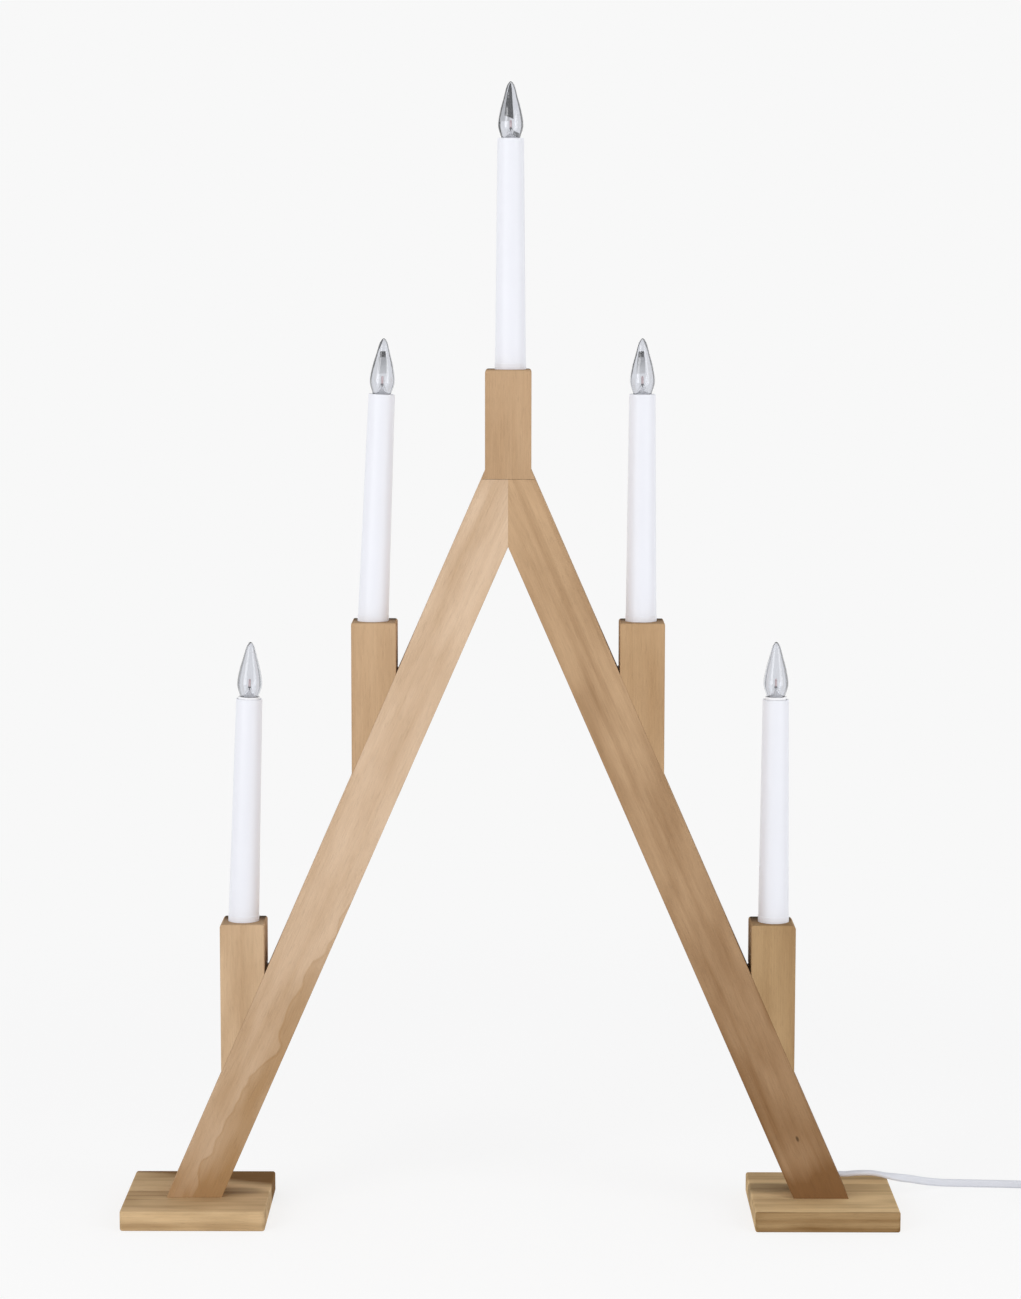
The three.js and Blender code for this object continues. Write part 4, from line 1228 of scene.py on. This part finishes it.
CLIP_REACH = GROOVE_WIDTH / 2 + CLIP_OVERLAP
CLIP_SCREW_X = CLIP_REACH + CLIP_SCREW_HEAD
clip_frame = frame_of(Vector((leg_x(1, CLIP_HEIGHT), BACK_FACE, CLIP_HEIGHT)), up_leg(1)) @ BACK_VIEW
clip_screw_place = clip_frame @ Matrix.Translation((CLIP_SCREW_X, 0, 0))


def clip_screw_cutter():
    outline = circle(CLIP_SCREW_RADIUS + FIT_GAP, THIN_SIDES)
    mesh = prism(outline, -CLIP_SCREW_LENGTH, CLIP_SCREW_LENGTH)
    return object_from("clip_screw_hole", mesh, clip_screw_place)


# Wooden pieces

def wood_solid(name, near, far, side_softness, corner_softness, place, cutters):
    """Wood between two outlines of matching corners. The softness lists are for the sides of the outlines and
    for the edge that joins each pair of corners."""
    mesh = bmesh.new()
    weight = mesh.edges.layers.float.new("bevel_weight_edge")
    into = place.inverted()
    fronts = [mesh.verts.new(into @ corner) for corner in near]
    backs = [mesh.verts.new(into @ corner) for corner in far]
    mesh.faces.new(fronts)
    mesh.faces.new(backs[::-1])
    bridge(mesh, fronts, backs)
    for index, (side, corner) in enumerate(zip(side_softness, corner_softness)):
        after = (index + 1) % len(near)
        mesh.edges.get((fronts[index], fronts[after]))[weight] = side
        mesh.edges.get((backs[index], backs[after]))[weight] = side
        mesh.edges.get((fronts[index], backs[index]))[weight] = corner
    piece = object_from(f"{name}_wood", mesh, place, wood_of[name])
    rounding = piece.modifiers.new("rounded edges", "BEVEL")
    rounding.limit_method = "WEIGHT"
    rounding.width = EDGE_RADIUS
    rounding.segments = EDGE_STEPS
    settle(piece)
    combine(piece, cutters, "DIFFERENCE")
    even_shading(piece)
    stand_in(piece, "stained_wood", name)


def frame_wood(name, outline, side_softness, corner_softness, place, cutters):
    """Wood with a front outline of X and Z, as deep as the legs."""
    near = [Vector((x, -LEG_DEPTH / 2, z)) for x, z in outline]
    far = [Vector((x, LEG_DEPTH / 2, z)) for x, z in outline]
    wood_solid(name, near, far, side_softness, corner_softness, place, cutters)


def make_leg(name, side, cutters):
    half = LEG_WIDTH / 2
    outline = [
        (leg_x(side, LEG_BOTTOM, half), LEG_BOTTOM),
        (leg_x(side, LEG_BOTTOM, -half), LEG_BOTTOM),
        (FRAME_MIDDLE, AXIS_APEX - LEG_HALF_SPAN / LEG_SLOPE),
        (FRAME_MIDDLE, SEAM_HEIGHT),
        (leg_x(side, SEAM_HEIGHT, half), SEAM_HEIGHT),
    ]
    seam = SEAM_SOFTNESS
    place = frame_of(Vector((leg_x(side, FOOT_TOP), 0, FOOT_TOP)), up_leg(side))
    sides = [seam, LEG_SOFTNESS, seam, seam, LEG_SOFTNESS]
    frame_wood(name, outline, sides, [seam] * len(outline), place, cutters)


def make_side_block(candle):
    """Block with its lower end cut to the slope of the leg that it is glued to."""
    low, high = candle.block_low, candle.block_high
    near_x, far_x = (high.x, low.x) if candle.side < 0 else (low.x, high.x)

    def cut_height(x):
        return axis_height(candle.side * (x - FRAME_MIDDLE) - LEG_HALF_SPAN)

    outline = [(far_x, cut_height(far_x)), (near_x, cut_height(near_x)), (near_x, high.z), (far_x, high.z)]
    seam = SEAM_SOFTNESS
    outer = OUTER_CORNER_SOFTNESS[candle.block]
    place = Matrix.Translation(((low.x + high.x) / 2, 0, high.z))
    cutters = [bore_cutter(candle), cross_cutter(candle), branch_cutter(candle)]
    sides = [seam, BLOCK_SOFTNESS, END_SOFTNESS, OUTER_SIDE_SHARE * outer]
    frame_wood(candle.block, outline, sides, [seam, seam, RIM_SOFTNESS, outer], place, cutters)


def make_top_block():
    """Block on the seam, its base flared to meet the outer faces of the legs."""
    outer_apex = AXIS_APEX + LEG_HALF_SPAN / LEG_SLOPE
    base = SEAM_HEIGHT + GLUE_LINE / 2
    half = TOP_BLOCK_WIDTH / 2
    high = top.block_high.z
    right = [((outer_apex - base) * LEG_SLOPE, base), (half, outer_apex - half / LEG_SLOPE), (half, high)]
    outline = [(FRAME_MIDDLE + x, z) for x, z in right]
    outline += [(FRAME_MIDDLE - x, z) for x, z in reversed(right)]
    seam = SEAM_SOFTNESS
    sides = [LEG_SOFTNESS, BLOCK_SOFTNESS, END_SOFTNESS, BLOCK_SOFTNESS, LEG_SOFTNESS, seam]
    corners = [seam, seam, RIM_SOFTNESS, RIM_SOFTNESS, seam, seam]
    place = Matrix.Translation((FRAME_MIDDLE, 0, high))
    cutters = [bore_cutter(top), cross_cutter(top), top_cutter()]
    frame_wood("top_block", outline, sides, corners, place, cutters)


def make_foot(name, side):
    low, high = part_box(name)
    corners = [(low.x, low.y), (high.x, low.y), (high.x, high.y), (low.x, high.y)]
    near = [Vector((x, y, low.z)) for x, y in corners]
    far = [Vector((x, y, high.z)) for x, y in corners]
    place = frame_of((low + high) / 2, RIGHT, UP)
    upright = [FOOT_CORNER_SOFTNESS] * 4
    wood_solid(name, near, far, [FOOT_SOFTNESS] * 4, upright, place, [foot_screw_cutter(side)])


def make_wood():
    lowest_branch = left_lower.branch().z - GROOVE_WIDTH
    left = [foot_screw_cutter(-1), leg_cutter(-1, lowest_branch), top_cutter()]
    make_leg("left_leg", -1, [*left, branch_cutter(left_upper), branch_cutter(left_lower)])
    right = [foot_screw_cutter(1), leg_cutter(1, 0), top_cutter()]
    right += [branch_cutter(right_upper), branch_cutter(right_lower), clip_screw_cutter()]
    make_leg("right_leg", 1, right)
    make_top_block()
    for candle in side_candles:
        make_side_block(candle)
    make_foot("left_foot", -1)
    make_foot("right_foot", 1)


make_wood()


# Candle pieces

def tube_inner_radius(height):
    return TUBE_TOP_RADIUS + (TUBE_BASE_RADIUS - TUBE_TOP_RADIUS) * (1 - height / TUBE_LENGTH) - TUBE_WALL


def make_tube(candle):
    """Tapered sleeve with a low collar at its foot and a rounded lip."""
    bottom = FIT_GAP - BORE_DEPTH
    bore = TUBE_BASE_RADIUS - TUBE_WALL
    step = TUBE_COLLAR_HEIGHT + TUBE_COLLAR_STEP
    slim = tube_inner_radius(step) + TUBE_WALL - TUBE_COLLAR_STEP
    lip_height = TUBE_LENGTH - TUBE_LIP
    lip = arc(TUBE_TOP_RADIUS - TUBE_LIP, lip_height, TUBE_LIP, 0, TURN / 4, LIP_STEPS)
    inner = TUBE_TOP_RADIUS - TUBE_WALL + TUBE_LIP
    lip += arc(inner, lip_height, TUBE_LIP, TURN / 4, TURN / 2, LIP_STEPS)
    collar = [(TUBE_BASE_RADIUS, bottom), (TUBE_BASE_RADIUS, TUBE_COLLAR_HEIGHT), (slim, step)]
    mesh = lathe([(bore, bottom), *collar, *lip, (bore, 0), (bore, bottom)], WIDE_SIDES)
    piece = object_from(f"{candle.name}_candle", mesh, candle.base_frame, candle_white, sharp=30)
    stand_in(piece, "candle_plastic", f"{candle.name}_candle_tube")


def bulb_profile(wall):
    """Half of the bulb's outline from its neck to its tip, drawn in by a wall."""
    across = 1 - wall / (BULB_OUTLINE[1][0] * MM)
    up = 1 - wall / BULB_HEIGHT
    points = [Vector((radius * across, height * up, 0)) * MM for radius, height in BULB_OUTLINE]
    mirrored = Vector((-points[-2].x, points[-2].y, 0))
    curve = through([*points, mirrored], lambda span: BULB_STEPS)[:-BULB_STEPS]
    return [(max(0.0, point.x), point.y) for point in curve]


def make_bulb_glass(candle):
    """Clear envelope on a white collar, with a skirt that reaches into the cap."""
    outer = bulb_profile(0)
    inner = bulb_profile(GLASS_WALL)
    edge = COLLAR_RADIUS - COLLAR_EASE
    profile = [
        *outer[::-1],
        *arc(edge, -COLLAR_EASE, COLLAR_EASE, TURN / 4, 0, LIP_STEPS),
        *arc(edge, COLLAR_EASE - COLLAR_HEIGHT, COLLAR_EASE, 0, -TURN / 4, LIP_STEPS),
        (SKIRT_RADIUS, -COLLAR_HEIGHT),
        (SKIRT_RADIUS, SKIRT_BOTTOM),
        (SKIRT_BORE, SKIRT_BOTTOM),
        (SKIRT_BORE, -COLLAR_HEIGHT / 2),
        *inner,
    ]
    foot = range(len(outer) - 1, len(profile) - len(inner))
    mesh = lathe(profile, WIDE_SIDES, lambda index: 1 if index in foot else 0)
    materials = [bulb_clear, stem_white]
    candle.add("bulb_envelope", mesh, materials, "clear_bulb", "bulb_glass", "bulb", sharp=50)


def make_emitter(candle):
    """Pale stem in the bulb's neck that carries the small light source on a post and two wires."""
    neck = BULB_OUTLINE[0][0] * MM - GLASS_WALL - FIT_GAP
    stem = lathe([
        (0, SKIRT_BOTTOM),
        (STEM_RADIUS, SKIRT_BOTTOM),
        (STEM_RADIUS, -COLLAR_HEIGHT),
        (neck, -FIT_GAP),
        (neck, FIT_GAP),
        (STEM_SHOULDER_SHARE * neck, STEM_SHOULDER_HEIGHT),
        (STEM_POST_RADIUS, STEM_POST_BOTTOM),
        (STEM_POST_RADIUS, STEM_HEIGHT),
        (0, STEM_HEIGHT),
    ], SLIM_SIDES)
    candle.add("bulb_stem", stem, [stem_white], "light_source", body="bulb", sharp=35)
    for name, side in (("left", -1), ("right", 1)):
        foot = Vector((side * WIRE_SPREAD, 0, FIT_GAP))
        bend = Vector((side * WIRE_SPREAD, 0, WIRE_BEND_HEIGHT))
        path = rounded_run([foot, bend, Vector((side * EMITTER_RADIUS, 0, EMITTER_BOTTOM))], WIRE_SPREAD / 3)
        wire = sweep(path, circle(WIRE_RADIUS, WIRE_SIDES), [BACK])
        candle.add(f"wire_{name}", wire, [wire_grey], "light_source", body="bulb")
    dome = arc(0, EMITTER_TOP - EMITTER_RADIUS, EMITTER_RADIUS, 0, TURN / 4, DOME_STEPS)
    bead = arc(0, EMITTER_BOTTOM, EMITTER_BEAD_RADIUS, -TURN / 4, EMITTER_BEAD_RISE, DOME_STEPS)
    profile = [(0, STEM_HEIGHT), (EMITTER_RADIUS / 2, STEM_HEIGHT), *bead[1:], *dome[:-1], (0, EMITTER_TOP)]
    mesh = lathe(profile, THIN_SIDES, lambda index: 1 if index < len(bead) else 0)
    candle.add("emitter", mesh, [emitter_rose, bead_grey], "light_source", "bulb_led", "bulb")


def make_cap(candle):
    """Threaded cap with the solder contact at its end."""
    floor = CAP_BOTTOM + CAP_WALL
    inside = [(0, floor), (CAP_BORE, floor), (CAP_BORE, CAP_TOP)]
    thread = (THREAD_DEPTH, THREAD_PITCH, THREAD_PITCH / 2, CAP_SIDES)
    cap = threaded(inside, [(0, CAP_BOTTOM)], lambda height: CAP_RADIUS, (CAP_TOP, CAP_BOTTOM), *thread)
    candle.add("screw_cap", cap, [cap_nickel], "cap_metal", "bulb_cap", "bulb", sharp=60)
    dome = arc(0, TIP_BOTTOM + TIP_RADIUS, TIP_RADIUS, 0, -TURN / 4, DOME_STEPS)
    round_end = [(radius, max(height, TIP_BOTTOM)) for radius, height in dome]
    tip = lathe([(0, TIP_TOP), (TIP_RADIUS, TIP_TOP), *round_end[1:-1], (0, TIP_BOTTOM)], THIN_SIDES)
    candle.add("contact", tip, [solder], "cap_metal", "bulb_tip", "tip")


def make_socket(candle):
    """Brass shell around the cap, in a lampholder that fills the tube's top."""
    rim = -SOCKET_RIM_DROP
    shell_rim = rim - SHELL_WALL / 2
    shell = lathe([
        (SHELL_BORE, SHELL_BOTTOM),
        (SHELL_RADIUS, SHELL_BOTTOM),
        (SHELL_RADIUS, shell_rim),
        ((SHELL_RADIUS + SHELL_BORE) / 2, rim),
        (SHELL_BORE, shell_rim),
        (SHELL_BORE, SHELL_BOTTOM),
    ], SOCKET_SIDES)
    candle.add("contact_shell", shell, [shell_brass], "socket_brass", "socket_shell", sharp=50)
    lift = TUBE_LENGTH + candle.lift
    cup = lathe([
        (0, SOCKET_BOTTOM),
        (tube_inner_radius(lift + SOCKET_BOTTOM) - FIT_GAP, SOCKET_BOTTOM),
        (tube_inner_radius(lift + rim) - FIT_GAP, rim),
        (SOCKET_BORE, rim),
        (SOCKET_BORE, SOCKET_FLOOR_TOP),
        (0, SOCKET_FLOOR_TOP),
    ], SOCKET_SIDES)
    holder = candle.add("lampholder", cup, [socket_white], "socket_plastic", "socket_body")
    ease_edges(holder, SOCKET_EASE, segments=2)


for candle in (top, *side_candles):
    make_tube(candle)
    make_bulb_glass(candle)
    make_emitter(candle)
    make_cap(candle)
    make_socket(candle)


# Leads in their grooves

def lead_run(candle, offset_x, offset_y, end):
    """From the socket down the tube, out through the cross hole and on to the end."""
    inner = candle.at(offset_x, offset_y, offset_y - CROSS_DEPTH)
    start = TUBE_LENGTH + candle.lift + SOCKET_BOTTOM - FIT_GAP
    return [candle.at(offset_x, offset_y, start), inner, Vector((inner.x, LEAD_Y, inner.z)), end]


def side_drop(candle, uphill):
    offset = uphill * LEAD_OFFSET
    return lead_run(candle, 0, offset, candle.branch() + up_leg(candle.side) * offset)


def top_drop(side):
    offset = side * LEAD_OFFSET
    return lead_run(top, offset, 0, Vector((FRAME_MIDDLE + offset, LEAD_Y, axis_height(LEAD_OFFSET))))


def make_leads():
    feed_height = CLIP_HEIGHT + FIT_GAP
    feed = Vector((leg_x(1, feed_height), LEAD_Y, feed_height))
    runs = {
        "feed": [feed, *side_drop(right_lower, -1)[::-1]],
        "right_side": [*side_drop(right_lower, 1), *side_drop(right_upper, -1)[::-1]],
        "right_top": [*side_drop(right_upper, 1), *top_drop(1)[::-1]],
        "left_top": [*top_drop(-1), *side_drop(left_upper, 1)[::-1]],
        "left_side": [*side_drop(left_upper, -1), *side_drop(left_lower, 1)[::-1]],
    }
    for name, corners in runs.items():
        path = rounded_run(corners, LEAD_BEND)
        mesh = sweep(path, circle(LEAD_DIAMETER / 2, LEAD_SIDES), [RIGHT + BACK])
        piece = object_from(f"{name}_wire", mesh, IN_PLACE, lead_white, sharp=60)
        stand_in(piece, "lead_sheath", f"{name}_lead")


make_leads()


# Clip and screws

def screw_mesh(head, start, end, radius, point, thread, pitch, fade):
    """Screw of a head's profile and a pointed thread, from a start under the head to its end."""
    def crest(height):
        return min(radius, abs(end - height) * radius / point + SCREW_END_RADIUS)

    span = (start, end + math.copysign(SCREW_END_LENGTH, start - end))
    return threaded(head, [(0, end)], crest, span, thread, pitch, fade, THIN_SIDES)


def make_screw(name, node, place, mesh, low, high, reach):
    """Screw with a cross of some reach cut into its head, between a low and a high level."""
    half = CROSS_WIDTH / 2
    outline = []
    for cosine, sine in ((1, 0), (0, 1), (-1, 0), (0, -1)):
        for x, y in ((reach, -half), (reach, half), (half, half)):
            outline.append((x * cosine - y * sine, x * sine + y * cosine))
    piece = object_from(name, mesh, place, screw_steel)
    combine(piece, [object_from("recess", prism(outline, low, high), place)], "DIFFERENCE")
    stand_in(piece, "screw_steel", node)


def make_clip():
    width = 2 * CLIP_REACH + CLIP_SCREW_X
    shift = width / 2 - CLIP_REACH
    outline = [(x + shift, y) for x, y in rounded_rectangle(width, CLIP_LENGTH, EDGE_RADIUS)]
    piece = object_from("wire_clip", prism(outline, 0, CLIP_THICKNESS), clip_frame, plug_white)
    ease_edges(piece, CLIP_EASE, segments=3)
    combine(piece, [clip_screw_cutter()], "DIFFERENCE")
    even_shading(piece)
    stand_in(piece, "white_plastic", "cord_clip")


def make_clip_screw():
    """Domed screw, its head on the clip."""
    under = CLIP_THICKNESS
    head_top = under + CLIP_SCREW_HEAD_HEIGHT
    dome = [
        (CLIP_SCREW_HEAD * x, under + CLIP_SCREW_HEAD_HEIGHT * y)
        for x, y in arc(0, 0, 1, CLIP_SCREW_DOME, 0, CLIP_SCREW_DOME_STEPS)
    ]
    head = [(0, head_top), *dome, (CLIP_SCREW_RADIUS, under)]
    thread = (CLIP_SCREW_THREAD, CLIP_SCREW_PITCH, CLIP_SCREW_PITCH)
    end = under - CLIP_SCREW_LENGTH
    mesh = screw_mesh(head, under - FIT_GAP, end, CLIP_SCREW_RADIUS, CLIP_SCREW_POINT, *thread)
    recess = (under + CLIP_RECESS_FLOOR, head_top + MM, CLIP_RECESS_REACH)
    make_screw("clip_fixing_screw", "clip_screw", clip_screw_place, mesh, *recess)


def make_foot_screw(name, side):
    """Countersunk screw from under the foot into the leg."""
    low = FOOT_SCREW_SUNK
    edge = low + FOOT_SCREW_EASE
    head = [(0, low), (FOOT_SCREW_HEAD - FOOT_SCREW_EASE, low), (FOOT_SCREW_HEAD, edge)]
    thread = (FOOT_SCREW_THREAD, FOOT_SCREW_PITCH, 2 * FOOT_SCREW_PITCH)
    start = low + FOOT_SCREW_HEAD_HEIGHT
    end = low + FOOT_SCREW_LENGTH
    mesh = screw_mesh(head, start, end, FOOT_SCREW_RADIUS, FOOT_SCREW_POINT, *thread)
    recess = (-MM, low + FOOT_RECESS_DEPTH, FOOT_RECESS_REACH)
    make_screw(f"{name}_steel", name, foot_screw_place(side), mesh, *recess)


make_clip()
make_clip_screw()
make_foot_screw("left_foot_screw", -1)
make_foot_screw("right_foot_screw", 1)


# Floor, light and background

BACKGROUND = colour(248, 248, 248)
AMBIENT = (0.98, 0.985, 1.0, 1.0)
AMBIENT_SIDE = 1.1
AMBIENT_ABOVE = 0.35
BOUNCE = (0.86, 0.86, 0.86, 1.0)
FLOOR_RADIUS = 6.0
SHADOW_SHARE = 0.25
SHADOW_FADE = (0.45, 1.1)
SHADOW_LIFT = 0.09

# Lamps, in metres and watts: place, what they look at, width and height, and power
LAMPS = {
    "key": ((-1.1, -1.15, 0.75), (0, 0, 0.4), (0.8, 1.3), 7.7),
    "fill": ((1.05, -0.75, 0.6), (0, 0, 0.35), (0.6, 1.1), 3.8),
}

# Glowing flags that only glass shows, painted dark refractions that draw the outlines of the clear bulbs, in
# metres: middle, width, lowest and highest edge, and tone
FLAG_DISTANCE = 0.8
FLAGS = {
    "left flag": (-0.65, 0.9, 0.5, 1.6, 0.01),
    "right flag": (0.67, 0.9, 0.5, 1.6, 0.2),
    "left low flag": (-0.85, 0.9, 0.02, 0.5, 0.35),
    "right low flag": (0.85, 0.9, 0.02, 0.5, 0.35),
    "middle low flag": (0, 0.1, 0.02, 0.36, 0.45),
}

# Glowing cards behind the top bulb and the two upper ones, which paint dark and grey refractions into them,
# in
# millimetres: outline, how far behind, and tones of its foot and its top. The first are drawn from the
# candle's rim, the others from higher up the bulb's axis
CARD_SHIFT = -0.8
TOP_CARDS = {
    "wedge": ([(-3.6, 13), (2.6, 11), (1.3, 35), (-1.3, 35)], 12, 0.05, 0.03),
    "wedge foot": ([(2, -1), (8, -1), (8, 3), (2.4, 5)], 12, 0.1, 0.2),
    "wedge side": ([(-12, 10), (0, 10), (0, 26), (-9, 26)], 13, 0.62, 0.5),
}
UPPER_CARD_HEIGHT = 20 * MM
UPPER_CARDS = {
    "dark card": ([(-2.4, 0), (2.4, 0), (2.4, 3.4), (-2.4, 3.4)], 12, 0.06, 0.03),
    "grey card": ([(-3, -9), (3, -9), (3, 0), (-3, 0)], 12, 0.68, 0.42),
}


def bare_tree(owner):
    """Empty node tree of a material or the world."""
    owner.use_nodes = True
    owner.node_tree.nodes.clear()
    return Tree(owner.node_tree)


def seen_directly(tree):
    """One for camera, mirror and glass rays, and zero for the light that reaches the object."""
    rays = tree.add("LightPath", {}).outputs
    seen = tree.math("MAXIMUM", rays["Is Camera Ray"], rays["Is Glossy Ray"])
    return tree.math("MAXIMUM", seen, rays["Is Transmission Ray"])


def make_floor():
    mesh = bmesh.new()
    bmesh.ops.create_circle(mesh, cap_ends=True, segments=WIDE_SIDES, radius=FLOOR_RADIUS)
    material = bpy.data.materials.new("pale floor")
    tree = bare_tree(material)
    away = tree.length(tree.add("TexCoord", {}).outputs["Object"])
    share = tree.between(away, *SHADOW_FADE, SHADOW_SHARE, 0.0)
    bounce = tree.add("BsdfDiffuse", {"Color": BOUNCE}).outputs[0]
    lit = tree.add("BsdfDiffuse", {"Color": TINT}).outputs[0]
    strength = tree.between(away, *SHADOW_FADE, 1.0 + SHADOW_LIFT, 1.0)
    glow = tree.add("Emission", {"Color": BACKGROUND, "Strength": strength}).outputs[0]
    seen = tree.add("MixShader", {0: share, 1: glow, 2: lit}).outputs[0]
    surface = tree.add("MixShader", {0: seen_directly(tree), 1: bounce, 2: seen}).outputs[0]
    tree.add("OutputMaterial", {"Surface": surface})
    floor = object_from("floor", mesh, IN_PLACE, material, smooth=False)


def make_world():
    """White backdrop for what looks at it, and light that is dimmer from above than from the sides."""
    world = bpy.data.worlds.new("studio")
    bpy.context.scene.world = world
    tree = bare_tree(world)
    height = tree.part(tree.add("TexCoord", {}).outputs["Generated"], "Z")
    strength = tree.between(height, 0.0, 1.0, AMBIENT_SIDE, AMBIENT_ABOVE)
    ambient = tree.add("Background", {"Color": AMBIENT, "Strength": strength}).outputs[0]
    backdrop = tree.add("Background", {"Color": BACKGROUND, "Strength": 1.0}).outputs[0]
    surface = tree.add("MixShader", {0: seen_directly(tree), 1: ambient, 2: backdrop}).outputs[0]
    tree.add("OutputWorld", {"Surface": surface})


def make_lamp(name, place, target, size, power):
    data = bpy.data.lights.new(name, "AREA")
    data.shape = "RECTANGLE"
    data.size, data.size_y = size
    data.energy = power
    turned = (Vector(place) - Vector(target)).to_track_quat("Z", "Y").to_matrix().to_4x4()
    put_in_scene(name, data, Matrix.Translation(place) @ turned)


def make_card(name, outline, place, low_tone, high_tone):
    """Glowing card that only glass shows, a painted refraction, with a tone that changes from its foot to its
    top.
    """
    levels = [height for across, height in outline]
    material = bpy.data.materials.new(name)
    tree = bare_tree(material)
    height = tree.part(tree.add("TexCoord", {}).outputs["Object"], "Y")
    tone = tree.between(height, min(levels), max(levels), low_tone, high_tone)
    tree.add("OutputMaterial", {"Surface": tree.add("Emission", {"Strength": tone}).outputs[0]})
    mesh = bmesh.new()
    mesh.faces.new([mesh.verts.new((across, height, 0)) for across, height in outline])
    card = object_from(name, mesh, Matrix.Translation(place) @ FRONT_VIEW, material, smooth=False)
    card.visible_camera = False
    card.visible_diffuse = False
    card.visible_glossy = False
    card.visible_shadow = False


def make_bulb_card(name, origin, outline, behind, low_tone, high_tone):
    place = origin + Vector((CARD_SHIFT, behind, 0)) * MM
    make_card(name, [(x * MM, y * MM) for x, y in outline], place, low_tone, high_tone)


def make_cards():
    for name, (middle, width, low, high, tone) in FLAGS.items():
        outline = [(-width / 2, low), (width / 2, low), (width / 2, high), (-width / 2, high)]
        make_card(name, outline, (middle, FLAG_DISTANCE, 0), tone, tone)
    for name, card in TOP_CARDS.items():
        make_bulb_card(name, top.lamp_frame.translation, *card)
    for candle in (left_upper, right_upper):
        centre = candle.lamp_frame.translation + candle.axis * UPPER_CARD_HEIGHT
        for name, card in UPPER_CARDS.items():
            make_bulb_card(f"{candle.name} {name}", centre, *card)


make_floor()
make_world()
for name, lamp in LAMPS.items():
    make_lamp(name, *lamp)
make_cards()

bpy.context.scene.view_settings.view_transform = "Standard"
